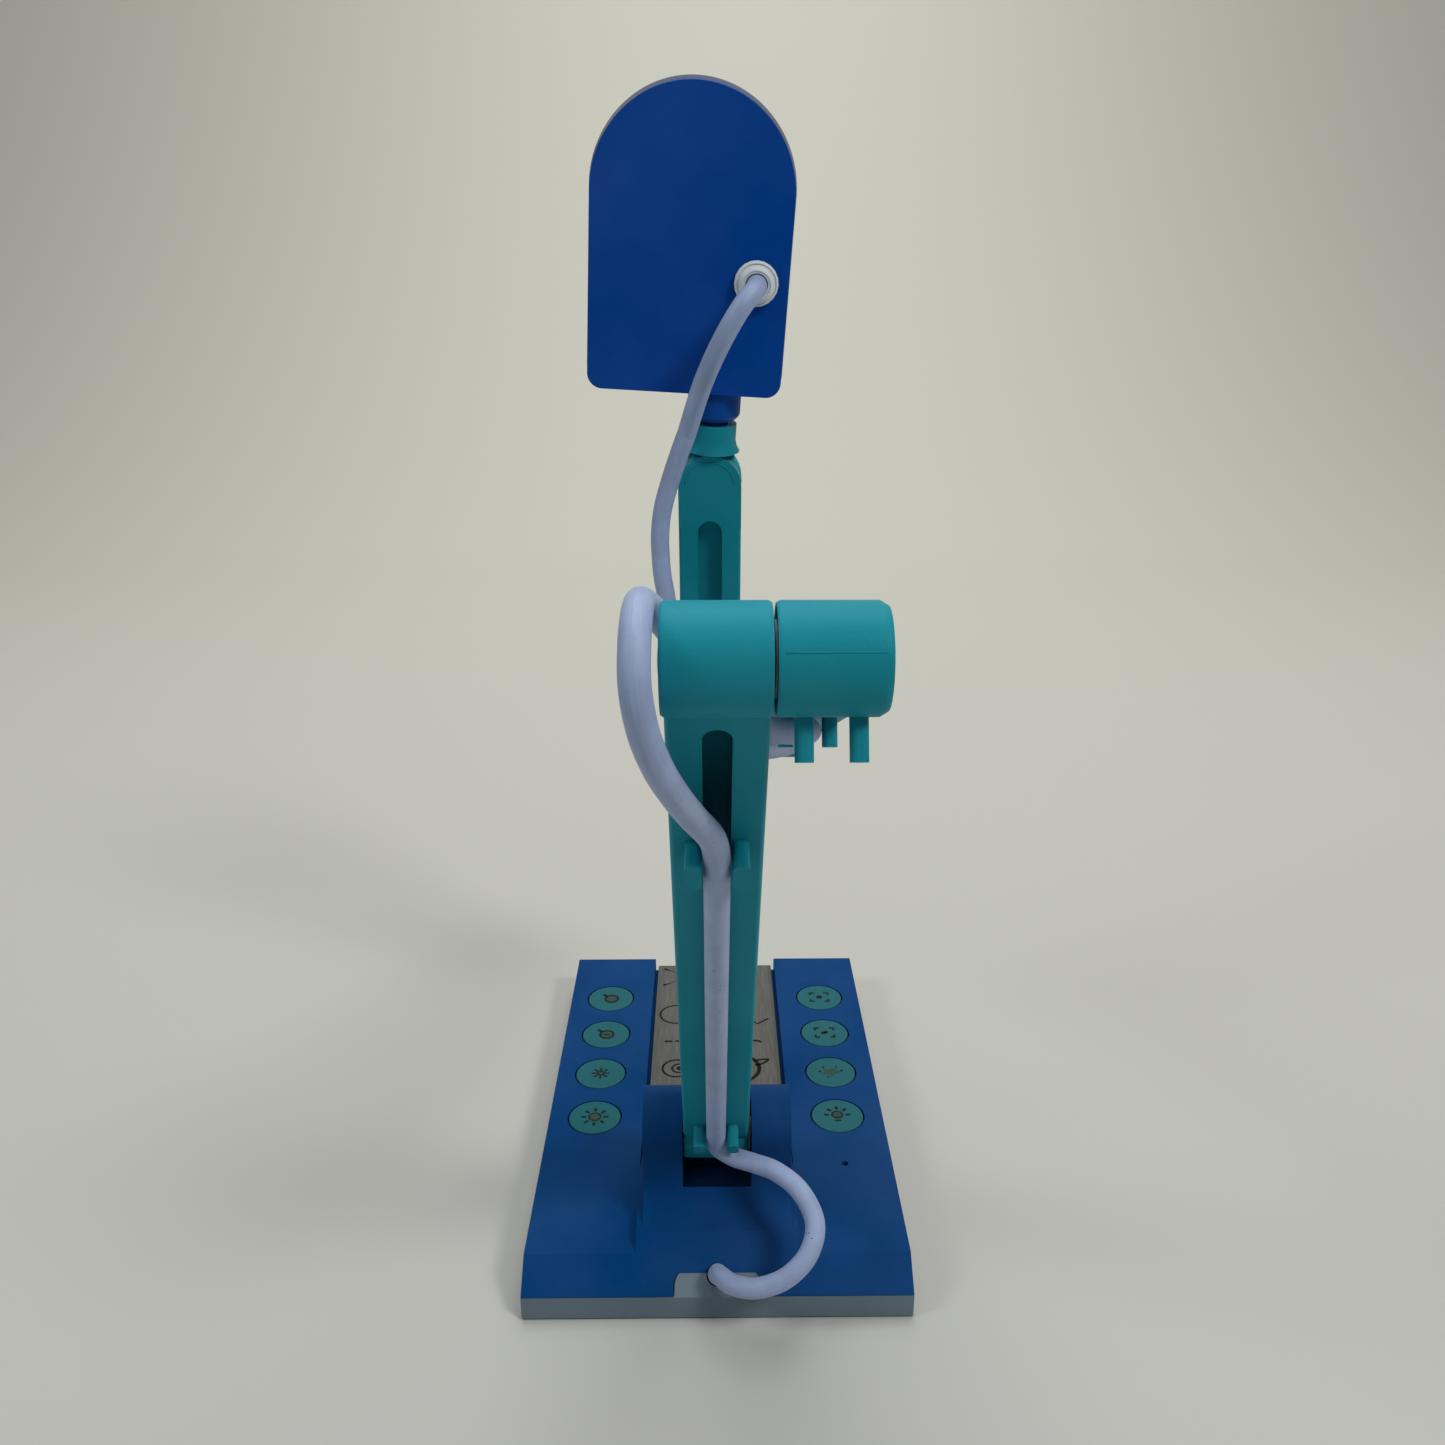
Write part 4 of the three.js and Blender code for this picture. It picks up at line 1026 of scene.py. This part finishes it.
# ---- prints -------------------------------------------------------------------------------------
@dataclass
class Print:
    """A thin film of ink made of strokes and filled shapes, drawn in millimetres on a flat top."""

    name: str
    height: float
    film: float = 0.04
    points: list = field(default_factory=list)
    faces: list = field(default_factory=list)

    def prism(self, outline: np.ndarray, closed_hole: bool = False) -> None:
        """Add a filled outline as a thin slab.

        Args:
            outline: its corners in X and Y, in order.
            closed_hole: whether the outline is two loops, outer then inner, of equal length.
        """
        first = len(self.points)
        count = len(outline)
        low = np.column_stack([outline, np.full(count, self.height - self.film)])
        high = np.column_stack([outline, np.full(count, self.height + self.film)])
        self.points.extend(np.vstack([low, high]).tolist())
        if closed_hole:
            ring = count // 2
            turn = np.arange(ring)
            after = (turn + 1) % ring
            outer, inner = first + turn, first + ring + turn
            outer2, inner2 = first + after, first + ring + after
            for a, b, c, d in (
                (outer + count, outer2 + count, inner2 + count, inner + count),
                (inner, inner2, outer2, outer),
                (outer, outer2, outer2 + count, outer + count),
                (inner2, inner, inner + count, inner2 + count),
            ):
                self.faces.extend(np.stack([a, b, c, d], axis=1).tolist())
            return
        around = first + np.arange(count)
        after = np.roll(around, -1)
        self.faces.append(around[::-1].tolist())
        self.faces.append((around + count).tolist())
        self.faces.extend(np.stack([around, after, after + count, around + count], axis=1).tolist())

    def stroke(self, line: np.ndarray, width: float) -> None:
        """Add a line of even width: the path moved half the width to each side.

        Args:
            line: points of the path in X and Y.
            width: the stroke's width.
        """
        line = np.asarray(line, float)
        along = np.gradient(line, axis=0)
        along /= np.linalg.norm(along, axis=1, keepdims=True) + 1e-9
        across = np.column_stack([-along[:, 1], along[:, 0]]) * width / 2
        self.prism(np.vstack([line - across, (line + across)[::-1]]))

    def ring(self, x: float, y: float, radius: float, width: float, count: int = 40) -> None:
        """Add a circle line: two concentric circles half the width either side of the radius."""
        angle = np.linspace(0, 2 * np.pi, count, endpoint=False)
        circle = np.column_stack([np.cos(angle), np.sin(angle)])
        centre = np.array([x, y])
        outline = np.vstack([centre + (radius + width / 2) * circle, centre + (radius - width / 2) * circle])
        self.prism(outline, closed_hole=True)

    def dot(self, x: float, y: float, radius: float, squash: float = 1.0, count: int = 24) -> None:
        """Add a filled ellipse with the given half width, its height squashed by a share."""
        angle = np.linspace(0, 2 * np.pi, count, endpoint=False)
        self.prism(np.column_stack([x + radius * np.cos(angle), y + squash * radius * np.sin(angle)]))

    def rays(self, x: float, y: float, near: float, far: float, width: float, angles: list[float]) -> None:
        """Add straight rays from one radius to another at the given angles in degrees."""
        for degrees in angles:
            way = np.array([math.cos(math.radians(degrees)), math.sin(math.radians(degrees))])
            centre = np.array([x, y])
            self.stroke(np.array([centre + near * way, centre + far * way]), width)

    def arc(self, x: float, y: float, radius: float, start: float, stop: float, width: float) -> None:
        """Add an arc line between two angles in degrees."""
        angle = np.radians(np.linspace(start, stop, 24))
        self.stroke(np.column_stack([x + radius * np.cos(angle), y + radius * np.sin(angle)]), width)

    def build(self, body: str, slot: str, material: bpy.types.Material) -> bpy.types.Object:
        """Store the print and let it ride.

        Args:
            body: the body that it moves with.
            slot: the record's material slot; not used.
            material: its ink.

        Returns:
            The finished print.
        """
        obj = outward(store(self.name, np.array(self.points), self.faces, material, smooth=False))
        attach(obj, body)
        LOG.info("%s: %d faces", self.name, len(self.faces))
        return obj


class Symbol(Enum):
    """What is printed on each key."""

    ZOOM_IN = 1
    ZOOM_OUT = 2
    SUN_SMALL = 3
    SUN_LARGE = 4
    FOCUS = 5
    FREEZE = 6
    SPLASH = 7
    LAMP = 8


@dataclass
class Keys:
    """The eight round keys with their symbols, row 1 nearest the arm."""

    left: tuple[Symbol, ...] = (Symbol.SUN_LARGE, Symbol.SUN_SMALL, Symbol.ZOOM_OUT, Symbol.ZOOM_IN)
    right: tuple[Symbol, ...] = (Symbol.LAMP, Symbol.SPLASH, Symbol.FREEZE, Symbol.FOCUS)

    def build(self, finishes: Finishes) -> None:
        """Make every key and its print.

        Args:
            finishes: the object's materials.
        """
        for side, symbols in (("left", self.left), ("right", self.right)):
            for row, symbol in enumerate(symbols, start=1):
                node = f"button_{side}_{row}"
                Refined(node, node + "_key", "button", "key_teal", rounding=0.3, segments=3).build(finishes)
                low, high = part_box(node)
                middle = (low + high) / 2 / MM
                self.symbol(node, symbol, middle.x, middle.y, high.z / MM, finishes)

    def symbol(self, node: str, symbol: Symbol, x: float, y: float, top: float, finishes: Finishes) -> None:
        """Print one symbol as dark lines and a lighter fill.

        Args:
            node: the key's CAD name.
            symbol: what to draw.
            x: the key's middle in X.
            y: the key's middle in Y.
            top: height of the key's face.
            finishes: the object's materials.
        """
        lines = Print(node + "_symbol", top, film=0.05)
        fill = Print(node + "_symbol_fill", top, film=0.035)
        if symbol in (Symbol.ZOOM_IN, Symbol.ZOOM_OUT):
            lines.ring(x + 0.3, y - 0.4, 2.2, 0.75)
            lines.stroke(np.array([[x - 1.3, y + 1.1], [x - 2.8, y + 2.5]]), 1.1)
            fill.dot(x + 0.3, y - 0.4, 1.95)
            if symbol is Symbol.ZOOM_OUT:
                lines.stroke(np.array([[x - 0.7, y - 0.4], [x + 1.3, y - 0.4]]), 0.7)
        elif symbol is Symbol.SUN_SMALL:
            fill.dot(x, y, 0.95)
            lines.ring(x, y, 1.0, 0.55)
            lines.rays(x, y, 1.4, 2.9, 0.65, [i * 45 for i in range(8)])
        elif symbol is Symbol.SUN_LARGE:
            fill.dot(x, y, 1.75)
            lines.ring(x, y, 1.75, 0.5)
            lines.rays(x, y, 2.6, 4.1, 0.85, [i * 45 for i in range(8)])
        elif symbol in (Symbol.FOCUS, Symbol.FREEZE):
            for sx in (-1, 1):
                for sy in (-1, 1):
                    corner = np.array([x + sx * 3.1, y + sy * 2.7])
                    bend = np.array([corner - [0, sy * 1.3], corner, corner - [sx * 1.4, 0]])
                    lines.stroke(bend, 0.9)
            if symbol is Symbol.FOCUS:
                lines.dot(x, y, 1.1)
            else:
                lines.dot(x - 0.35, y - 0.25, 0.9, squash=0.8)
                lines.dot(x + 0.45, y + 0.35, 0.75)
        elif symbol is Symbol.SPLASH:
            angle = np.linspace(0, 2 * np.pi, 96, endpoint=False)
            reach = 2.1 + 0.55 * np.cos(5 * angle + 0.6) + 0.3 * np.cos(8 * angle)
            fill.prism(np.column_stack([x + 1.15 * reach * np.cos(angle), y + 0.85 * reach * np.sin(angle)]))
            drops = (
                (-3.4, 0.2, 0.45), (3.5, 0.5, 0.45), (-2.2, 2.5, 0.45), (2.0, 2.6, 0.4), (-1.0, -2.8, 0.4),
            )
            for dx, dy, radius in drops:
                lines.dot(x + dx, y + dy, radius)
        else:
            fill.dot(x, y + 0.3, 1.6)
            socket = [[x - 0.9, y - 2.3], [x + 0.9, y - 2.3], [x + 1.0, y - 0.8], [x - 1.0, y - 0.8]]
            fill.prism(np.array(socket))
            lines.stroke(np.array([[x - 0.9, y - 2.5], [x + 0.9, y - 2.5]]), 0.6)
            lines.ring(x, y + 0.3, 1.6, 0.5)
            lines.rays(x, y + 0.3, 2.5, 4.0, 0.85, [0, 45, 90, 135, 180])
        lines.build(node + "_key", "button", finishes["symbol_ink"])
        if fill.points:
            fill.build(node + "_key", "button", finishes["symbol_fill"])


@dataclass
class Base:
    """The base: tray, cover, keys, drawing panel and what is under them."""

    keys: Keys = field(default_factory=Keys)
    line: float = 1.0

    def build(self, finishes: Finishes) -> None:
        """Make the base's pieces.

        Args:
            finishes: the object's materials.
        """
        for piece in (
            Refined("base_cover", "base", "blue_body", "base_blue", rounding=0.45, segments=3, sharp=25.0),
            Refined("base_tray", "base", "tray", "tray_grey", rounding=0.3),
            Refined("anti_slip_pad", "base", "pad", "pad_rubber", rounding=0.25),
            Refined("deck_panel", "base", "panel", "panel_sheet", rounding=0.2),
            Refined("data_socket", "base", "steel", "zinc_steel", rounding=0.1),
            Refined("base_pivot_bolt", "base", "steel", "zinc_steel", rounding=0.2),
            Refined("base_pivot_nut", "base", "steel", "zinc_steel", rounding=0.2),
        ):
            piece.build(finishes)
        self.keys.build(finishes)
        self.drawings(finishes)

    def drawings(self, finishes: Finishes) -> None:
        """Thin line drawings on the panel: leaf outlines, circles, arcs and short strokes.

        Args:
            finishes: the object's materials.
        """
        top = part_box("deck_panel")[1].z / MM
        ink = Print("panel_drawings", top, film=0.03)
        wave = np.linspace(0, 1, 24)
        ink.ring(-13.4, 46.5, 5.6, 0.7)
        ink.ring(-12.6, 14.6, 4.6, 0.75)
        ink.ring(-11.8, 14.6, 2.3, 0.7)
        ink.dot(-11.6, 14.6, 1.1)
        for y0, lift in ((76.5, -1), (66.5, 1)):
            leaf = np.vstack([
                np.column_stack([-18.6 + 7.5 * wave, y0 + lift * (5.2 * wave**1.6)]),
                np.column_stack([-11.1 - 7.5 * wave, y0 + lift * (5.2 - 6.6 * wave**0.8)]),
            ])
            ink.prism(leaf)
        ink.stroke(np.array([[-17.0, 30.0], [-14.4, 30.0]]), self.line)
        ink.stroke(np.array([[-13.4, 30.2], [-9.8, 29.9]]), self.line)
        ink.stroke(np.array([[10.6, 52.0], [12.4, 43.0], [14.4, 40.2], [18.4, 43.6]]), 0.8)
        ink.stroke(np.array([[11.2, 30.2], [14.6, 30.0], [15.2, 29.0]]), self.line)
        ink.arc(6.5, 14.5, 7.6, -60, 60, 1.3)
        ink.stroke(np.column_stack([12.8 + 4.6 * wave, 18.5 + 2.2 * wave - 1.4 * wave**2]), 0.85)
        ink.stroke(np.column_stack([12.8 + 4.6 * wave, 16.2 - 0.4 * wave + 3.5 * wave**2]), 0.85)
        ink.stroke(np.column_stack([-3.5 + 7 * wave, 64 + 2.2 * np.sin(2 * np.pi * wave)]), self.line)
        ink.ring(1.5, 38.0, 3.2, 0.45)
        ink.rays(1.5, 38.0, 4.2, 5.6, 0.5, [i * 60 for i in range(6)])
        ink.stroke(np.column_stack([-4.5 + 9 * wave, 0.5 + 1.6 * np.cos(3 * np.pi * wave)]), self.line)
        ink.arc(2.0, -20.0, 4.0, 20, 300, 0.6)
        ink.stroke(np.array([[-14.0, -8.0], [-10.5, -12.0], [-7.0, -8.0]]), 0.6)
        ink.arc(13.0, -12.0, 3.6, 150, 390, 0.6)
        ink.build("base", "panel", finishes["drawing_ink"])


@dataclass
class Arm:
    """The three links with their bolts, nuts and washers."""

    rounding: float = 0.4
    elbow_y: float = -145.58
    elbow_z: float = 194.76
    barrel_radius: float = 9.12
    parting_angle: float = 22.0
    parting_from: float = 9.8
    parting_to: float = 24.9
    parting_radius: float = 0.11
    rim_centre: tuple[float, float, float] = (-1.3, -5.8, 76.5)
    rim_reach: float = 6.7
    rim_angles: tuple[float, float] = (8.0, 172.0)
    rim_radius: float = 0.16

    def build(self, finishes: Finishes) -> None:
        """Make the arm's pieces.

        Args:
            finishes: the object's materials.
        """
        for piece in (
            Refined("lower_link", "lower_arm", "teal_arm", "arm_teal", rounding=self.rounding, segments=3),
            Refined("middle_link", "middle_arm", "teal_arm", "arm_teal", rounding=self.rounding, segments=3),
            Refined("upper_link", "upper_arm", "teal_arm", "arm_teal", rounding=self.rounding, segments=3),
            Refined("elbow_bolt", "lower_arm", "steel", "zinc_steel", rounding=0.2),
            Refined("wrist_bolt", "upper_arm", "steel", "zinc_steel", rounding=0.2),
            Refined("elbow_nut", "middle_arm", "steel", "zinc_steel", rounding=0.2),
            Refined("wrist_nut", "middle_arm", "steel", "zinc_steel", rounding=0.2),
        ):
            piece.build(finishes)
        self.moulded_lines(finishes)

    def moulded_lines(self, finishes: Finishes) -> None:
        """Add the parting line on the elbow barrel and the line round the upper link's tang.

        Args:
            finishes: the object's materials.
        """
        turn = math.radians(self.parting_angle)
        x = np.linspace(self.parting_from, self.parting_to, 6)
        y = self.elbow_y - self.barrel_radius * math.cos(turn)
        z = self.elbow_z + self.barrel_radius * math.sin(turn)
        seam = np.column_stack([x, np.full(len(x), y), np.full(len(x), z)])
        rim = UpperLinkFrame().arc(self.rim_centre, self.rim_reach, *self.rim_angles, 40)
        for line in (
            RaisedLine("elbow_parting_line", seam, self.parting_radius, "middle_arm", "teal_arm", "arm_teal"),
            RaisedLine("tang_rim_line", rim, self.rim_radius, "upper_arm", "teal_arm", "arm_teal"),
        ):
            line.build(finishes)


@dataclass
class Head:
    """Knuckle, neck and camera head."""

    shell_rounding: float = 0.5
    grommet_x: float = 10.35
    grommet_z: float = 129.2
    grommet_steps: tuple[tuple[float, float], ...] = ((3.5, -11.1), (4.42, -10.0), (5.0, -9.7))
    step_radius: float = 0.2

    def build(self, finishes: Finishes) -> None:
        """Make the head's pieces.

        Args:
            finishes: the object's materials.
        """
        for piece in (
            Refined("tilt_knuckle", "knuckle", "teal_arm", "arm_teal", rounding=0.35, segments=3),
            Refined("tilt_screw", "knuckle", "screw", "dark_screw", rounding=0.15),
            Refined("neck_post", "head", "neck", "neck_blue", rounding=0.3),
            Refined(
                "head_rear_shell", "head", "head_blue", "head_blue", rounding=self.shell_rounding, segments=3
            ),
            Refined("head_front_shell", "head", "head_front", "front_grey", rounding=0.6, segments=3),
            Refined("head_grommet", "head", "grommet", "grommet_white", rounding=0.25, segments=3),
            Refined("light_ring", "head", "diffuser", "lamp_diffuser", rounding=0.2),
            Refined("lens_tube", "head", "lens_barrel", "lens_barrel_black", rounding=0.2),
            Refined("lens_glass", "head", "lens_glass", "lens_glass", rounding=0.15),
            Refined("head_screw_1", "head", "screw", "dark_screw", rounding=0.15),
            Refined("head_screw_2", "head", "screw", "dark_screw", rounding=0.15),
        ):
            piece.build(finishes)
        for number, (reach, depth) in enumerate(self.grommet_steps, start=1):
            ring = UpperLinkFrame().arc((self.grommet_x, depth, self.grommet_z), reach, 0.0, 360.0, 48)
            name = f"grommet_step_{number}"
            line = RaisedLine(name, ring, self.step_radius, "head", "grommet", "grommet_white", closed=True)
            line.build(finishes)


@dataclass(frozen=True)
class Inside:
    """CAD pieces that keep their own shape: which finish each one gets."""

    finishes: tuple[tuple[str, str], ...] = (
        ("ballast_plate", "zinc_steel"),
        ("main_board", "circuit_lacquer"),
        ("key_board_left", "circuit_lacquer"),
        ("key_board_right", "circuit_lacquer"),
        ("key_mat_left", "dome_silicone"),
        ("key_mat_right", "dome_silicone"),
        ("microphone", "zinc_steel"),
        *((f"base_screw_{number}", "dark_screw") for number in range(1, 5)),
        ("pivot_washer_left", "washer_nylon"),
        ("pivot_washer_right", "washer_nylon"),
        ("elbow_washer", "washer_nylon"),
        ("wrist_washer", "washer_nylon"),
        ("camera_board", "circuit_lacquer"),
    )

    def build(self, finishes: Finishes) -> None:
        """Dress the nodes.

        Args:
            finishes: the object's materials.
        """
        for node, finish in self.finishes:
            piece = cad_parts[node]
            if not piece.material_slots:
                piece.data.materials.append(finishes[finish])
            for slot in piece.material_slots:
                slot.material = finishes[finish]
            LOG.info("%s: %s", node, finish)


# ---- setting ------------------------------------------------------------------------------------
@dataclass
class Studio:
    """Floor sweep, soft lights and the camera."""

    lens: float = 31.38
    eye: tuple[float, float, float] = (-1.5, -333.5, 249.8)
    pitch_down: float = 19.21
    yaw: float = 0.61
    wall_distance: float = 1500.0
    sweep_radius: float = 700.0
    half_width: float = 2600.0
    wall_height: float = 2600.0
    reach_back: float = 2600.0

    def build(self) -> None:
        """Make the setting."""
        self.sweep()
        self.lights()
        self.camera()

    def sweep(self) -> None:
        """Floor and wall in one sheet: flat, then a quarter circle, then straight up. Its colour is darker
        near the eye and lighter towards the wall, a painted light falloff.
        """
        turn = np.linspace(0, np.pi / 2, 24)
        curve_y = self.wall_distance - self.sweep_radius + self.sweep_radius * np.sin(turn)
        curve_z = self.sweep_radius * (1 - np.cos(turn))
        y = np.concatenate([[-self.reach_back], curve_y, [self.wall_distance]])
        z = np.concatenate([[0.0], curve_z, [self.wall_height]])
        left = np.column_stack([np.full(len(y), -self.half_width), y, z])
        right = np.column_stack([np.full(len(y), self.half_width), y, z])
        count = len(y)
        row = np.arange(count - 1)
        faces = np.stack([row, row + count, row + count + 1, row + 1], axis=1).tolist()
        material, tree = new_material("pale_floor")
        place = tree.add("TexCoord").outputs["Object"]
        away = tree.add("SeparateXYZ", Vector=place).outputs["Y"]
        # painted light falloff: the colour runs from darker near the eye to lighter towards the wall
        share = tree.add("MapRange", Value=away, From_Min=-0.3, From_Max=0.9).outputs[0]
        tint = tree.blend(share, (0.5, 0.505, 0.485, 1.0), (0.66, 0.655, 0.585, 1.0))
        shader = tree.add("BsdfPrincipled", Base_Color=tint, Roughness=0.75, Specular_IOR_Level=0.2)
        tree.add("OutputMaterial", Surface=shader.outputs[0])
        obj = store("floor_sweep", np.vstack([left, right]), faces, material)

    @staticmethod
    def area(name: str, place: Vector, aim: Vector, size: float, power: float, colour: Colour) -> None:
        """Add a square soft light.

        Args:
            name: the light's name.
            place: where it hangs, in metres.
            aim: the point it faces.
            size: side of its square in metres.
            power: watts.
            colour: its colour.
        """
        data = bpy.data.lights.new(name, "AREA")
        data.energy, data.size, data.color = power, size, colour
        obj = bpy.data.objects.new(name, data)
        obj.location = place
        obj.rotation_euler = (aim - place).to_track_quat("-Z", "Y").to_euler()
        bpy.context.scene.collection.objects.link(obj)

    def lights(self) -> None:
        """A broad light overhead, a weaker one from the upper right behind the eye, and dim surroundings."""
        self.area("overhead", Vector((0.05, 0.3, 1.5)), Vector((0, 0.05, 0)), 1.0, 11.5, (1.0, 0.985, 0.95))
        self.area("right_key", Vector((0.8, -0.75, 1.2)), Vector((0, 0, 0.15)), 0.35, 9.0, (1.0, 0.99, 0.97))
        self.area("left_fill", Vector((-1.0, -0.45, 1.0)), Vector((0, 0, 0.1)), 0.35, 3.6, (0.95, 0.98, 1.0))
        wall = Vector((0.05, 1.5, 0.3))
        self.area("wall_wash", Vector((0.05, 0.95, 1.15)), wall, 0.5, 2.8, (1.0, 1.0, 0.98))
        world = bpy.data.worlds.new("dim_room")
        bpy.context.scene.world = world
        world.use_nodes = True
        tree = Tree(world.node_tree)
        background = tree.add("Background", Color=(0.8, 0.85, 0.9, 1.0), Strength=0.14)
        tree.add("OutputWorld", Surface=background.outputs[0])

    def camera(self) -> None:
        """The camera behind the object, looking a little down."""
        data = bpy.data.cameras.new("eye")
        data.lens, data.sensor_width = self.lens, 36.0
        data.clip_start, data.clip_end = 0.01, 50.0
        obj = bpy.data.objects.new("eye", data)
        obj.location = Vector(self.eye) * MM
        obj.rotation_euler = Euler((math.radians(90 - self.pitch_down), 0.0, -math.radians(self.yaw)))
        bpy.context.scene.collection.objects.link(obj)
        bpy.context.scene.camera = obj


def main() -> None:
    """Build the setting, the cable and every sub-assembly in order."""
    logging.basicConfig(level=logging.INFO, format="%(message)s")
    Studio().build()
    finishes = Finishes(Effects())
    Cable().build(finishes)
    Base().build(finishes)
    Arm().build(finishes)
    Head().build(finishes)
    Inside().build(finishes)
    bpy.context.scene.view_settings.view_transform = "Standard"


if __name__ == "__main__":
    main()
